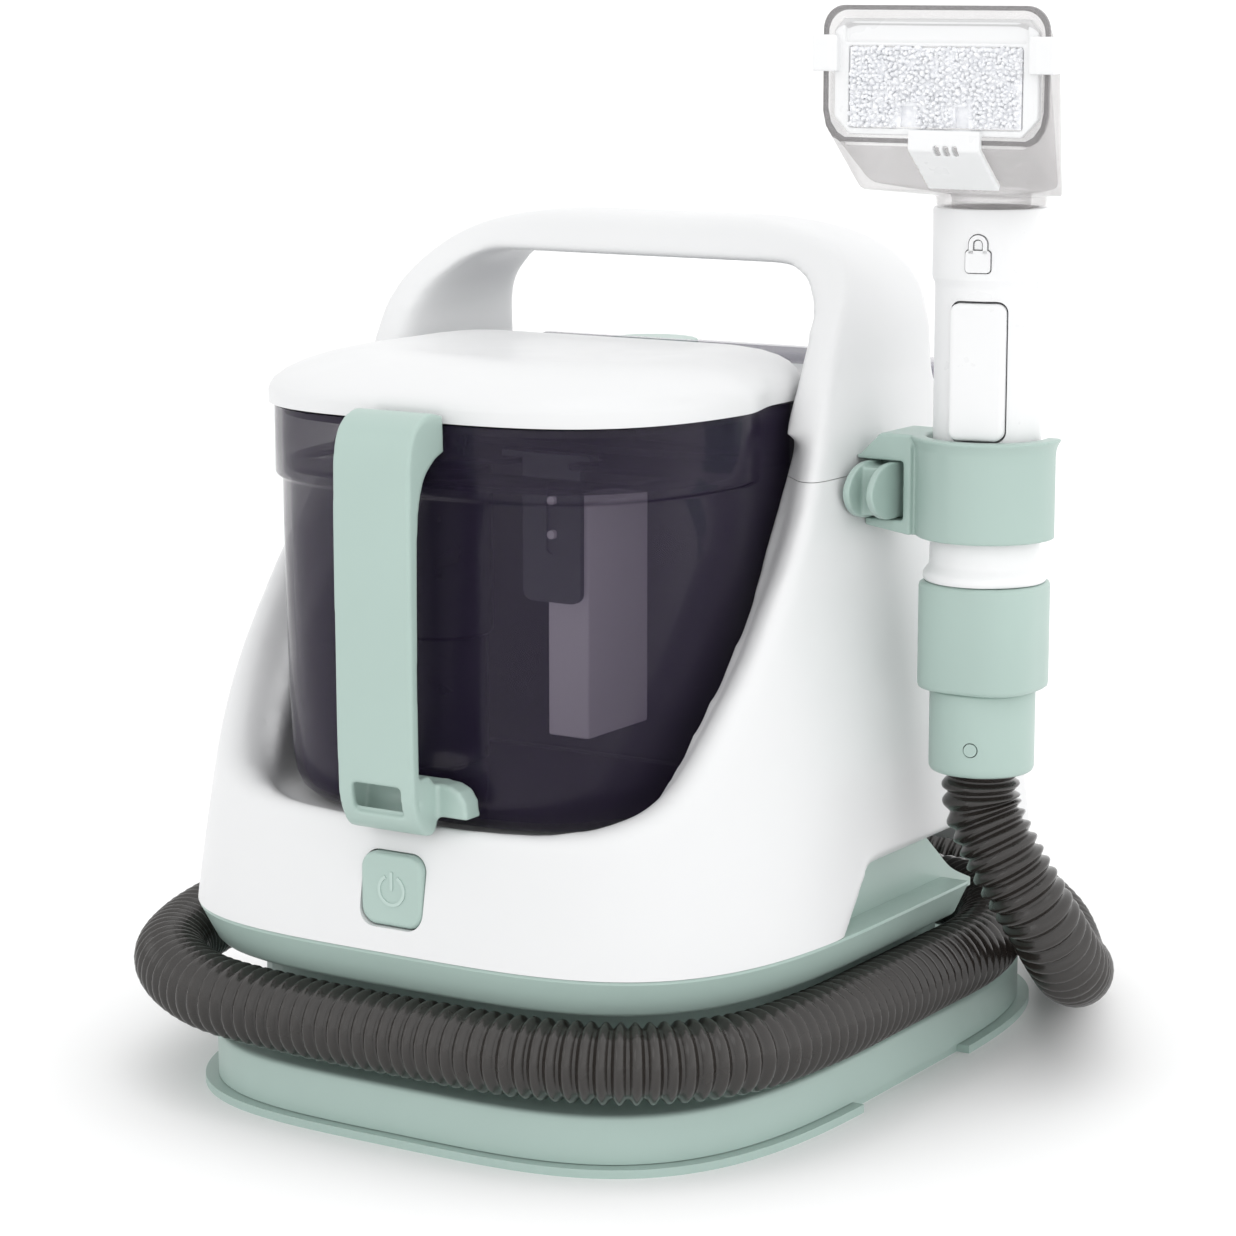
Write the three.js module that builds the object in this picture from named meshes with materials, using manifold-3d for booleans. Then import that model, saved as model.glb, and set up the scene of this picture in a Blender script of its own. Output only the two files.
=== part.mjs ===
// Portable carpet and upholstery spot cleaner: a moulded body on a hose-wrap base, a lift-out dirty
// water tank in front, a clean water tank behind, and a hose with a hand tool in a side holder.
// Millimetres. X = side with the hand tool, -Y = front, +Z = up. Origin = centre of the base's
// underside.

import * as THREE from "three";
import { mergeVertices } from "three/addons/utils/BufferGeometryUtils.js";
import { ConvexGeometry } from "three/addons/geometries/ConvexGeometry.js";
import Module from "manifold-3d";

const wasm = await Module();
wasm.setup();

// ---------------------------------------------------------------- driving dimensions
const gap = 0.3;                 // play between touching pieces
const wall = 2.6;                // thickness of the moulded shells
const far = 400;                 // longer than the whole machine

const base = { halfWidth: 120.5, halfDepth: 158.6, power: 3.7, lip: 4, lipTop: 3, top: 20 };
const groove = { halfWidth: 103, halfDepth: 133, power: 4, top: 53.1 };
const band = { bottom: 53.4, top: 67.2, lowWidth: 115.5, lowDepth: 148.2, width: 122.2, depth: 154.1 };
const bodyMiddle = -3;           // the body sits a little forward of the base
const bodyPower = 3.8;
const body = { bottom: 67.5, halfWidth: 122.2, front: -157.1, back: 151.1, lean: 0.172 };
const seam = 222;                // joint between the body shell and the carry handle
const handleTop = 307;
const handleShoulder = 255;      // height where the handle's sides start to curve over
const legInside = 83.5;          // half the clear width between the handle's legs
const gripUnderside = 291.5;
const gripCorner = 25;

const tank = { top: 246.4, middle: -29, rear: -10.5, rearHalf: 84.5 };
const tankWall = 2.4;
const wellFloor = 107.6;
const lid = { top: 264, rear: -9 };
const deck = { front: -7.6, back: 47.6, top: 251 };
const cleanTank = { floor: 113, top: 251.5, ridgeTop: 256.5, front: 50.4, back: 129, topBack: 104 };

const hoseRadius = 14.6;
const wand = { x: 146, y: -5, radius: 18.6, passage: 11, turn: THREE.MathUtils.degToRad(14) };
const holder = { bottom: 202, top: 237, inside: 20.6, outside: 24.2 };
const mouth = { y: -49, halfWidth: 41.5, bottom: 337.5, top: 383 };
const button = { z: 88.7, side: 25.4, front: -154.6, back: -141 };

// ---------------------------------------------------------------- materials
const paint = (color, roughness, metalness = 0) =>
  new THREE.MeshStandardMaterial({ color, roughness, metalness });
const white = () => paint("#f4f4f3", 0.35);
const mint = () => paint("#a9c9be", 0.45);
const smoke = () => paint("#3a3346", 0.12);
const clear = () => paint("#d9d3d6", 0.08);
const dark = () => paint("#2b2728", 0.4);
const rubber = () => paint("#333436", 0.85);
const steel = () => paint("#b9bbbe", 0.3, 1);
const copper = () => paint("#4d5258", 0.5, 0.6);
const board = () => paint("#2f6b46", 0.5);
const bristle = () => paint("#e9ebf0", 0.95);

// ---------------------------------------------------------------- solids
function solid(geometry) {
  const bare = geometry.clone();
  bare.deleteAttribute("normal");
  bare.deleteAttribute("uv");
  const joined = mergeVertices(bare, 1e-4);
  return new wasm.Manifold(new wasm.Mesh({
    numProp: 3,
    vertProperties: new Float32Array(joined.attributes.position.array),
    triVerts: new Uint32Array(joined.index.array),
  }));
}

function geometryOf(shape) {
  const mesh = shape.getMesh();
  const geometry = new THREE.BufferGeometry();
  geometry.setAttribute("position", new THREE.BufferAttribute(mesh.vertProperties, 3));
  geometry.setIndex(new THREE.BufferAttribute(mesh.triVerts, 1));
  geometry.computeVertexNormals();
  return geometry;
}

function block(x, y, z) {
  const geometry = new THREE.BoxGeometry(x[1] - x[0], y[1] - y[0], z[1] - z[0]);
  geometry.translate((x[0] + x[1]) / 2, (y[0] + y[1]) / 2, (z[0] + z[1]) / 2);
  return solid(geometry);
}

function upright(radius, z, [x, y], sides = 24, topRadius = radius) {
  const geometry = new THREE.CylinderGeometry(topRadius, radius, z[1] - z[0], sides);
  geometry.rotateX(Math.PI / 2);
  geometry.translate(x, y, (z[0] + z[1]) / 2);
  return solid(geometry);
}

function lying(radius, y, [x, z], sides = 24) {
  const geometry = new THREE.CylinderGeometry(radius, radius, y[1] - y[0], sides);
  geometry.translate(x, (y[0] + y[1]) / 2, z);
  return solid(geometry);
}

function shapeOf(points) {
  return new THREE.Shape(points.map(([x, y]) => new THREE.Vector2(x, y)));
}

// An outline seen from above, raised from one height to another.
function prism(points, z) {
  const geometry = new THREE.ExtrudeGeometry(shapeOf(points), { depth: z[1] - z[0], bevelEnabled: false });
  geometry.translate(0, 0, z[0]);
  return solid(geometry);
}

// An outline in (y, z), seen from the side, run along X.
function sidePrism(points, x) {
  const geometry = new THREE.ExtrudeGeometry(shapeOf(points), { depth: x[1] - x[0], bevelEnabled: false });
  const turn = new THREE.Matrix4().makeBasis(
    new THREE.Vector3(0, 1, 0), new THREE.Vector3(0, 0, 1), new THREE.Vector3(1, 0, 0));
  geometry.applyMatrix4(turn);
  geometry.translate(x[0], 0, 0);
  return solid(geometry);
}

// An outline in (x, z), seen from the front, run along Y.
function frontPrism(points, y) {
  const geometry = new THREE.ExtrudeGeometry(shapeOf(points), { depth: y[1] - y[0], bevelEnabled: false });
  const turn = new THREE.Matrix4().makeBasis(
    new THREE.Vector3(1, 0, 0), new THREE.Vector3(0, 0, 1), new THREE.Vector3(0, -1, 0));
  geometry.applyMatrix4(turn);
  geometry.translate(0, y[1], 0);
  return solid(geometry);
}

// A closed skin over rings of points, lowest ring first, all with the same number of points.
function loft(rings) {
  const count = rings[0].length;
  const index = [];
  for (let level = 0; level < rings.length - 1; level++) {
    for (let i = 0; i < count; i++) {
      const a = level * count + i;
      const b = level * count + (i + 1) % count;
      index.push(a, b, b + count, a, b + count, a + count);
    }
  }
  const lastRing = (rings.length - 1) * count;
  const flat = (ring) => ring.map((p) => new THREE.Vector2(p.x, p.y));
  for (const [a, b, c] of THREE.ShapeUtils.triangulateShape(flat(rings[0]), [])) {
    index.push(c, b, a);
  }
  for (const [a, b, c] of THREE.ShapeUtils.triangulateShape(flat(rings.at(-1)), [])) {
    index.push(lastRing + a, lastRing + b, lastRing + c);
  }
  const geometry = new THREE.BufferGeometry().setFromPoints(rings.flat());
  geometry.setIndex(index);
  return solid(geometry);
}

const power = (value, exponent) => Math.sign(value) * Math.abs(value) ** exponent;

// A rounded rectangle whose corners get squarer as the exponent rises.
function oval(halfWidth, front, back, exponent, count = 40) {
  const points = [];
  for (let i = 0; i < count; i++) {
    const angle = 2 * Math.PI * (i + 0.5) / count;
    const x = halfWidth * power(Math.cos(angle), 2 / exponent);
    const y = (front + back) / 2 + (back - front) / 2 * power(Math.sin(angle), 2 / exponent);
    points.push([x, y]);
  }
  return points;
}

const atHeight = (points, z) => points.map(([x, y]) => new THREE.Vector3(x, y, z));

// A smooth run of points through the ones given.
function smooth(points, count) {
  const curve = new THREE.SplineCurve(points.map(([x, y]) => new THREE.Vector2(x, y)));
  return curve.getPoints(count).map((p) => [p.x, p.y]);
}

function roundedSquare(side, radius, [x, y]) {
  const shape = new THREE.Shape();
  const half = side / 2;
  const centres = [[half - radius, half - radius, 0], [radius - half, half - radius, 1],
    [radius - half, radius - half, 2], [half - radius, radius - half, 3]];
  for (const [cx, cy, quarter] of centres) {
    shape.absarc(x + cx, y + cy, radius, quarter * Math.PI / 2, (quarter + 1) * Math.PI / 2, false);
  }
  return shape.getPoints(4).slice(0, -1).map((p) => [p.x, p.y]);
}

function tube(points, radius, sides, steps) {
  const path = new THREE.CatmullRomCurve3(points.map((p) => new THREE.Vector3(...p)), false, "centripetal");
  const section = [];
  for (let i = 0; i < sides; i++) {
    const angle = 2 * Math.PI * i / sides;
    section.push([radius * Math.cos(angle), radius * Math.sin(angle)]);
  }
  return solid(new THREE.ExtrudeGeometry(shapeOf(section),
    { extrudePath: path, steps, bevelEnabled: false }));
}

// ---------------------------------------------------------------- the scene
const machine = new THREE.Group();
machine.name = "spot_cleaner";

function add(name, shape, material) {
  const mesh = new THREE.Mesh(geometryOf(shape), material);
  mesh.name = name;
  machine.add(mesh);
}

// ---------------------------------------------------------------- base
// The rear right corner is open above the base, so that the hose can turn into its port.
const openCorner = [[46, 170], [46, 94], [82, 80], [95, 62], [101, 36], [140, 36], [140, 170]];
const grow = (points, amount) => points.map(([x, y], i) => [x - amount, i > 0 && i < 6 ? y - amount : y]);

const footPlaces = [[-80, -115], [80, -115], [-80, 115], [80, 115]];
const screwPlaces = [[-60, -100], [60, -100], [-60, 100], [30, 100]];

function addBase() {
  const b = base;
  const lip = oval(b.halfWidth, -b.halfDepth, b.halfDepth, b.power, 44);
  const rim = oval(b.halfWidth - b.lip, b.lip - b.halfDepth, b.halfDepth - b.lip, b.power, 44);
  const notch = block([b.halfWidth - b.lip - 1.5, far], [-40, 42], [-1, b.lipTop + 1]);
  const floor = prism(lip, [0, b.lipTop]).subtract(notch);
  const footPockets = footPlaces.map((at) => upright(11 + gap, [-1, 1.5], at));
  const screwHoles = screwPlaces.map((at) => upright(2.3, [-1, 5], at, 12)
    .add(upright(4.4, [-1, 2.1], at, 12)));
  add("bottom_cover", [...footPockets, ...screwHoles].reduce((shape, cut) => shape.subtract(cut), floor),
    mint());

  const inner = oval(b.halfWidth - b.lip - wall, b.lip + wall - b.halfDepth, b.halfDepth - b.lip - wall,
    b.power, 44);
  const plinth = prism(rim, [b.lipTop + gap, b.top])
    .subtract(prism(inner, [b.lipTop, b.top - wall]));
  const bosses = screwPlaces.map((at) => upright(5, [b.lipTop + gap, b.top - wall + 0.5], at, 12)
    .subtract(upright(2.1, [b.lipTop, 14], at, 12)));
  add("base_plinth", bosses.reduce((shape, boss) => shape.add(boss), plinth), mint());

  footPlaces.forEach((at, i) => {
    add(["foot_front_left", "foot_front_right", "foot_rear_left", "foot_rear_right"][i],
      upright(11, [0, 1.2], at, 20), rubber());
  });
  screwPlaces.forEach((at, i) => {
    add(`base_screw_${i + 1}`, upright(1.9, [1, 13], at, 10).add(upright(4, [0.4, 1.8], at, 12)), steel());
  });
}

function addGrooveWall() {
  const g = groove;
  const outline = oval(g.halfWidth, -g.halfDepth, g.halfDepth, g.power, 48);
  const inside = oval(g.halfWidth - wall, wall - g.halfDepth, g.halfDepth - wall, g.power, 48);
  const z = [base.top + gap, g.top];
  const shell = prism(outline, z).subtract(prism(openCorner, [0, 100]));
  const hollow = prism(inside, [0, 100]).subtract(prism(grow(openCorner, wall), [-1, 101]));
  const portHole = sidePrism(circle(114, 40, 12.6), [30, 60]);
  add("hose_groove_wall", shell.subtract(hollow).subtract(portHole), mint());
}

function circle(x, y, radius, sides = 20) {
  return Array.from({ length: sides }, (_, i) => {
    const angle = 2 * Math.PI * i / sides;
    return [x + radius * Math.cos(angle), y + radius * Math.sin(angle)];
  });
}

function bandRing(grown, z) {
  const share = (z - band.bottom) / (band.top - band.bottom);
  const width = THREE.MathUtils.lerp(band.lowWidth, band.width, share) + grown;
  const depth = THREE.MathUtils.lerp(band.lowDepth, band.depth, share) + grown;
  return atHeight(oval(width, bodyMiddle - depth, bodyMiddle + depth, bodyPower, 48), z);
}

function addSkirtBand() {
  const z = [band.bottom, band.top];
  const ring = loft(z.map((level) => bandRing(0, level)))
    .subtract(prism(oval(99, bodyMiddle - 130, bodyMiddle + 130, bodyPower, 48), [0, 100]));
  // On the right the band rises into a wall behind the hose and ends in a flared edge.
  const rise = smooth([[22, 86], [32, 78], [44, 69], [60, 62]], 6);
  const wallOutline = [[-56, 60], [-37, 86], ...rise, [60, 59], [-30, 59]];
  const sideWall = sidePrism(wallOutline, [106, 110.5]);
  add("skirt_band", ring.subtract(prism(openCorner, [0, 100])).add(sideWall), mint());
}

// ---------------------------------------------------------------- body
function hullWidth(z) {
  if (z < handleShoulder) {
    const rise = Math.max(z - body.bottom, 0) / (handleShoulder - body.bottom);
    return THREE.MathUtils.lerp(body.halfWidth, 98.5, rise ** 1.25);
  }
  const rise = Math.min((z - handleShoulder) / (handleTop + 0.6 - handleShoulder), 1);
  return 98.5 * (1 - rise ** 3.4) ** (1 / 3.4);
}

function hull(inset, levels) {
  return loft(levels.map((z) => {
    const shift = body.lean * (z - body.bottom);
    const ring = oval(hullWidth(z + inset * (z > handleShoulder)) - inset,
      body.front + shift + inset, body.back - shift - inset, bodyPower);
    return atHeight(ring, z);
  }));
}

// The side view of the body: low front and rear walls, curved edges rising to the handle.
function sideView(inset) {
  const frontEdge = smooth([[-149, 112], [-141, 114], [-132, 119.5], [-122, 128], [-104, 152], [-90, 169],
    [-77, 186], [-60, 206], [-46, 228], [-33, 250], [-25, 266], [-17, 277], [-7, 287], [2, 296],
    [9, handleTop + 1]], 28);
  const rearEdge = smooth([[30, handleTop + 1], [42, 302], [48, 285], [50, 262], [53, 240], [63, 212],
    [79, 182], [98, 152], [114, 132], [128, 121], [142, 118]], 20);
  const moved = (points, side) => points.map(([y, z]) => [y + side * inset, z - inset]);
  return [[-170, 40], [170, 40], [170, 118 - inset], ...moved(rearEdge, -1).reverse(),
    ...moved(frontEdge, 1).reverse(), [-170, 112 - inset]];
}

// The rear well is wide behind the handle's legs and narrow between them.
function rearWell(grown) {
  const inner = deck.back - grown;
  const narrow = legInside + grown;
  const wide = 90.5 + grown;
  const arc = [];
  for (let i = 0; i <= 16; i++) {
    const angle = Math.PI * i / 16;
    arc.push([wide * power(Math.cos(angle), 0.55), 66 + (65 + grown) * power(Math.sin(angle), 0.55)]);
  }
  const outline = [[narrow, inner], [narrow, 60 - grown], ...arc, [-narrow, 60 - grown], [-narrow, inner]];
  return prism(outline, [cleanTank.floor - 0.4 - grown, far]);
}

// The front well follows the tank, 2 mm clear of its rim.
function frontWell(grown) {
  const outline = tankRing(88.3 + grown, -145.6 - grown, deck.front + grown, legInside + grown, 0);
  return prism(outline.map((p) => [p.x, p.y]), [wellFloor - grown, far]);
}

function addBodyShell() {
  const levels = [body.bottom, 92, 117, 150, 186, seam];
  const innerLevels = [body.bottom - 5, 92, 117, 150, 186, seam + 5];
  const outside = hull(0, levels).intersect(sidePrism(sideView(0), [-far, far]));
  const inside = hull(wall, innerLevels).intersect(sidePrism(sideView(wall), [-far, far]))
    .subtract(frontWell(wall)).subtract(rearWell(wall));
  const sideNotch = sidePrism([[-62, 60], [-37, 87], [76, 87], [98, 60]], [70, far]);
  const buttonHole = frontPrism(roundedSquare(button.side + 2 * gap, 6.2, [0, button.z]), [-170, -135]);
  const inletHole = upright(13, [90, 120], [-45, -60], 20);
  const valveHole = upright(8, [90, 130], [0, 90], 16);
  const shell = outside.subtract(inside).subtract(frontWell(0)).subtract(rearWell(0))
    .subtract(sideNotch).subtract(buttonHole).subtract(inletHole).subtract(valveHole);
  add("body_shell", shell, white());
}

function gripOpening(grown) {
  const side = legInside + grown;
  const corner = gripCorner + grown;
  const points = [];
  for (let i = 0; i <= 16; i++) {
    const turn = i / 16 * Math.PI / 2;
    points.push([side - corner + corner * Math.cos(turn),
      gripUnderside + grown - corner + corner * Math.sin(turn)]);
  }
  const mirrored = points.map(([x, z]) => [-x, z]).reverse();
  return frontPrism([[-side, 180], [side, 180], ...points, ...mirrored], [-far, far]);
}

function addCarryHandle() {
  const levels = [seam + gap, 240, 255, 270, 283, 293, 300, 304.5, handleTop];
  const innerLevels = [seam - 5, 240, 255, 270, 283, 293, 300, handleTop - wall];
  const outside = hull(0, levels).intersect(sidePrism(sideView(0), [-far, far]));
  const inside = hull(wall, innerLevels).intersect(sidePrism(sideView(wall), [-far, far]))
    .subtract(gripOpening(wall)).subtract(frontWell(wall)).subtract(rearWell(wall));
  const shell = outside.subtract(inside).subtract(gripOpening(0)).subtract(frontWell(0))
    .subtract(rearWell(0));
  add("carry_handle", shell, white());
}

function addTopDeck() {
  const x = legInside - gap;
  const outer = block([-x, x], [deck.front, deck.back], [seam + gap, deck.top]);
  const inner = block([wall - x, x - wall], [deck.front + wall, deck.back - wall], [seam, deck.top - wall]);
  add("top_deck", outer.subtract(inner), white());
}

function addCornerCover() {
  const outline = [[48, 140], [48, 60], [104, 60], [104, 110], [88, 136]];
  add("corner_cover", prism(outline, [88, 90.5]).intersect(hull(wall + gap, [80, 100])), mint());
}

// ---------------------------------------------------------------- power button
function addPowerButton() {
  const cap = frontPrism(roundedSquare(button.side, 6, [0, button.z]), [button.front, button.back]);
  const hollow = frontPrism(roundedSquare(button.side - 5, 4, [0, button.z]),
    [button.front + 3, button.back + 5]);
  const stem = lying(3, [button.front + 2, button.back + 4], [0, button.z], 12);
  add("power_button", cap.subtract(hollow).add(stem), mint());
  add("power_switch", block([-12, 12], [-134.5, -120], [78, 99]), dark());
}

// ---------------------------------------------------------------- dirty water tank
function tankRing(halfWidth, front, rear, rearHalf, z, count = 22) {
  const reach = tank.middle - front;
  const exponent = 3.4;
  const turnBack = -66;
  const start = Math.asin(Math.min(1, ((tank.middle - turnBack) / reach)) ** (exponent / 2));
  const points = [];
  for (let i = 0; i <= count; i++) {
    const angle = Math.PI + start + (Math.PI - 2 * start) * i / count;
    points.push([halfWidth * power(Math.cos(angle), 2 / exponent),
      tank.middle + reach * power(Math.sin(angle), 2 / exponent)]);
  }
  const rearRight = [[rearHalf, turnBack + 6], [rearHalf, rear - 13], [rearHalf - 1.8, rear - 6],
    [rearHalf - 6, rear - 1.8], [rearHalf - 13, rear]];
  points.push(...rearRight, ...rearRight.map(([x, y]) => [-x, y]).reverse());
  return atHeight(points, z);
}

// Height, half-width and front of the tank at each level; the rim is a step wider.
const tankLevels = [[108, 74, -134.5], [111, 78.6, -139], [122, 80.9, -141.4], [150, 82.4, -142],
  [185, 83.2, -142.3], [221, 83.8, -142.5], [222.5, 86.3, -144.5], [246.4, 86.3, -144.5]];

function tankSolid(inset, lift, top) {
  const rings = tankLevels.map(([z, halfWidth, front], i) => {
    const height = i === 0 ? z + lift : i === tankLevels.length - 1 ? top : z;
    return tankRing(halfWidth - inset, front + inset, tank.rear - inset, tank.rearHalf - 3 - inset, height);
  });
  return loft(rings);
}

function addDirtyTank() {
  const shell = tankSolid(0, 0, tank.top).subtract(tankSolid(tankWall, tankWall, tank.top + 1));
  const drain = upright(10.5, [100, 115], [-45, -60], 20);
  add("dirty_tank", shell.subtract(drain), smoke());

  const pipe = upright(10.2, [109, 236], [-45, -60], 20).subtract(upright(8, [100, 240], [-45, -60], 20));
  add("tank_inlet_pipe", pipe, dark());

  const trayRing = (inset, z) => tankRing(83 - inset, inset - 141.2, tank.rear - 3 - inset,
    tank.rearHalf - 6 - inset, z);
  const tray = loft([trayRing(0, 224.6), trayRing(0, 226.6)])
    .subtract(block([-66, 66], [-48, -19], [220, 230]))
    .subtract(block([-70, 70], [-112, -80], [220, 230])).subtract(upright(10.6, [200, 240], [-45, -60], 20))
    .subtract(block([-1.4, 23.4], [-80, -67.2], [220, 230]))
    .subtract(block([-4, 28], [-68, -50], [220, 230]));
  add("splash_tray", tray, smoke());
  const guide = block([-1, 23], [-71.8, -69.2], [176, 229])
    .add(block([-7, 29], [-75.5, -69.2], [226.9, 229]));
  add("float_guide", guide, dark());

  const box = block([3, 20], [-62, -22], [126, 210])
    .subtract(block([5.2, 17.8], [-59.8, -24.2], [120, 207.8]));
  add("float", box, clear());

  const gasketRing = (inset, z) => tankRing(86.3 - inset, inset - 144.5, tank.rear - inset,
    tank.rearHalf - 3 - inset, z);
  const gasket = loft([gasketRing(3, 243.5), gasketRing(3, 246.2)])
    .subtract(loft([gasketRing(5.5, 243), gasketRing(5.5, 247)]));
  add("tank_gasket", gasket, rubber());
}

const strap = { left: -13, right: 18 };

function addStrapHandle() {
  const outer = smooth([[-147, 250], [-155, 251.5], [-163, 247], [-166.5, 238], [-167.5, 222],
    [-167.3, 170], [-166.5, 134]], 20);
  const inner = smooth([[-161.8, 134], [-162.3, 170], [-161.6, 212], [-158.6, 228], [-152.5, 235],
    [-146.2, 238]], 16);
  const grip = sidePrism([...outer, ...inner], [strap.left, strap.right]);
  const hook = smooth([[-162.4, 137], [-162.4, 124], [-159.8, 116.5], [-156.6, 114.4], [-154.6, 117],
    [-153.6, 123], [-150, 127.5], [-144.4, 128.6]], 16);
  const hookInner = smooth([[-144.4, 125.4], [-148.4, 124.4], [-150.9, 121.4], [-151.4, 116],
    [-152.8, 111.6], [-156, 109.8], [-161, 111], [-166.2, 121], [-166.5, 137]], 16);
  const foot = sidePrism([...hook, ...hookInner], [strap.left, strap.right]);
  add("strap_handle", grip.add(foot), mint());
}

function addLid() {
  const ring = (halfWidth, front, rear, inset, z) =>
    tankRing(halfWidth - inset, front + inset, rear - inset, tank.rearHalf - inset, z);
  const levels = [[247, 89.4, -144.5, 82.4], [251.5, 89.4, -144.5, 82.4], [256, 87.4, -141.5, 80.6],
    [260, 81.5, -132, 76], [262.6, 73, -118, 68], [lid.top, 62, -100, 57]];
  const dome = (inset, lift) => loft(levels.map(([z, width, front, rearHalf], i) =>
    tankRing(width - inset, front + inset, lid.rear - i * i * 0.3 - inset, rearHalf - inset,
      i === 0 ? z - lift / 2 : z - lift)));
  const outside = dome(0, 0);
  const inside = dome(wall, wall);
  add("tank_lid", outside.subtract(inside), white());
  const seal = loft([ring(89.4, -144.5, tank.rear, 7.5, 246.6), ring(89.4, -144.5, tank.rear, 7.5, 249)])
    .subtract(loft([ring(89.4, -144.5, tank.rear, 10.5, 246), ring(89.4, -144.5, tank.rear, 10.5, 250)]));
  add("lid_seal", seal, rubber());
}

// ---------------------------------------------------------------- clean water tank
function cleanRing(inset, z) {
  const share = (z - cleanTank.floor) / (cleanTank.top - cleanTank.floor);
  const back = THREE.MathUtils.lerp(cleanTank.back, cleanTank.topBack, share ** 0.8);
  const points = [];
  for (let i = 0; i <= 16; i++) {
    const angle = Math.PI * i / 16;
    points.push([(88 - inset) * power(Math.cos(angle), 0.55),
      68 + (back - inset - 68) * power(Math.sin(angle), 0.55)]);
  }
  points.push([inset - 82, 62], [inset - 82, cleanTank.front + inset],
    [82 - inset, cleanTank.front + inset], [82 - inset, 62]);
  return atHeight(points, z);
}

function addCleanTank() {
  const { floor, top, ridgeTop, front } = cleanTank;
  const outerRings = [floor, 150, 190, 225, top - 6].map((z) => cleanRing(0, z));
  const outside = loft([...outerRings, cleanRing(4, top)]);
  const inside = loft([floor + tankWall, 150, 190, 225, top - 7].map((z) => cleanRing(tankWall, z)));
  const filler = upright(14, [top - 12, top + 1], [-40, 78], 24);
  const outlet = upright(5, [floor - 1, floor + 6], [0, 90], 16);
  const fingerRidge = block([-74, 74], [front, front + 3.6], [top - 5.5, ridgeTop]);
  add("clean_tank", outside.add(fingerRidge).subtract(inside).subtract(filler).subtract(outlet), smoke());
  const plug = upright(13.6, [top - 8, top + 0.5], [-40, 78], 24);
  const rim = upright(18, [top + gap, top + 4], [-40, 78], 24);
  add("filler_cap", plug.add(rim), mint());
  const seat = upright(4.7, [floor - 1, floor + 9], [0, 90], 16);
  add("clean_tank_valve", seat.add(upright(7, [floor + tankWall + gap, floor + 8], [0, 90], 16)), dark());
}

// ---------------------------------------------------------------- works inside the body
function addWorks() {
  const motorAt = [0, 15];
  add("vacuum_motor", upright(40, [58, 100], motorAt, 28)
    .subtract(upright(4, [50, 66], motorAt, 12)), copper());
  const legs = [0, 1, 2].map((i) => upright(5, [20.3, 29],
    [40 * Math.cos(2.1 * i), 15 + 40 * Math.sin(2.1 * i)], 8));
  const bowl = upright(50, [28, 57.5], motorAt, 32).subtract(upright(46, [31, 54.5], motorAt, 32))
    .subtract(upright(5, [50, 60], motorAt, 12)).subtract(upright(14, [20, 35], motorAt, 20));
  const casing = legs.reduce((shape, leg) => shape.add(leg), bowl);
  add("fan_casing", casing, dark());
  const disc = upright(42, [48, 50], motorAt, 28).subtract(upright(3.2, [40, 60], motorAt, 12));
  let impeller = disc.add(upright(8, [36, 48.5], motorAt, 16)
    .subtract(upright(3.2, [30, 60], motorAt, 12)));
  for (let i = 0; i < 8; i++) {
    const blade = new THREE.BoxGeometry(34, 2, 12);
    blade.translate(24, 0, 42.5);
    blade.rotateZ(2 * Math.PI * i / 8);
    blade.translate(motorAt[0], motorAt[1], 0);
    impeller = impeller.add(solid(blade));
  }
  add("fan_impeller", impeller, steel());
  add("motor_shaft", upright(2.9, [37, 65.5], motorAt, 12), steel());

  add("water_pump", block([50, 78], [-104, -62], [20.3, 50])
    .add(upright(10, [49, 68], [64, -88], 16)), dark());
  const posts = [[-78, -96], [-52, -96], [-78, -54], [-52, -54]]
    .map((at) => upright(2.5, [20.3, 27], at, 8));
  const sheet = block([-82, -48], [-100, -50], [26, 27.6]);
  add("control_board", posts.reduce((shape, post) => shape.add(post), sheet), board());
  add("board_relay", block([-74, -56], [-86, -66], [27.9, 42]), dark());
  const duct = tubeWall([[31.5, 114, 40], [10, 114, 40], [-30, 104, 43], [-58, 72, 52], [-64, 30, 68],
    [-58, -20, 84], [-45, -56, 94], [-45, -60, 104]], 9, 6.8, 14);
  add("suction_duct", duct, dark());
  const airPath = tubeWall([[0, 6, 217], [0, 6, 160], [30, 22, 125], [56, 20, 100], [61, 15, 70],
    [61, 15, 32]], 8, 6, 12);
  add("air_duct", airPath, dark());
  const waterLine = tube([[0, 90, 106], [16, 80, 86], [50, 50, 78], [75, 25, 78], [76, -10, 78],
    [68, -50, 76], [64, -74, 64], [64, -74, 50.5]], 3, 8, 14);
  add("clean_water_line", waterLine, clear());
  const port = sidePrism(circle(114, 40, 12.2), [32, 57.4])
    .subtract(sidePrism(circle(114, 40, 9.5), [30, 60]));
  add("hose_port", port.add(sidePrism(circle(114, 40, 14.5), [46.3, 49])
    .subtract(sidePrism(circle(114, 40, 9.5), [30, 60]))), dark());
  add("cord_gland", lying(7, [129.8, 141], [-60, 38], 16).subtract(lying(4, [120, 150], [-60, 38], 12))
    .subtract(block([-far, far], [129, 133.3], [-far, far])), rubber());
}

function tubeWall(points, outer, inner, steps) {
  return tube(points, outer, 8, steps).subtract(tube(lengthened(points), inner, 8, steps));
}

// The same path with both ends run on by a few millimetres.
function lengthened(points) {
  const run = (from, to) => new THREE.Vector3(...to).sub(new THREE.Vector3(...from)).setLength(3)
    .add(new THREE.Vector3(...to)).toArray();
  return [run(points[1], points[0]), ...points, run(points.at(-2), points.at(-1))];
}

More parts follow.
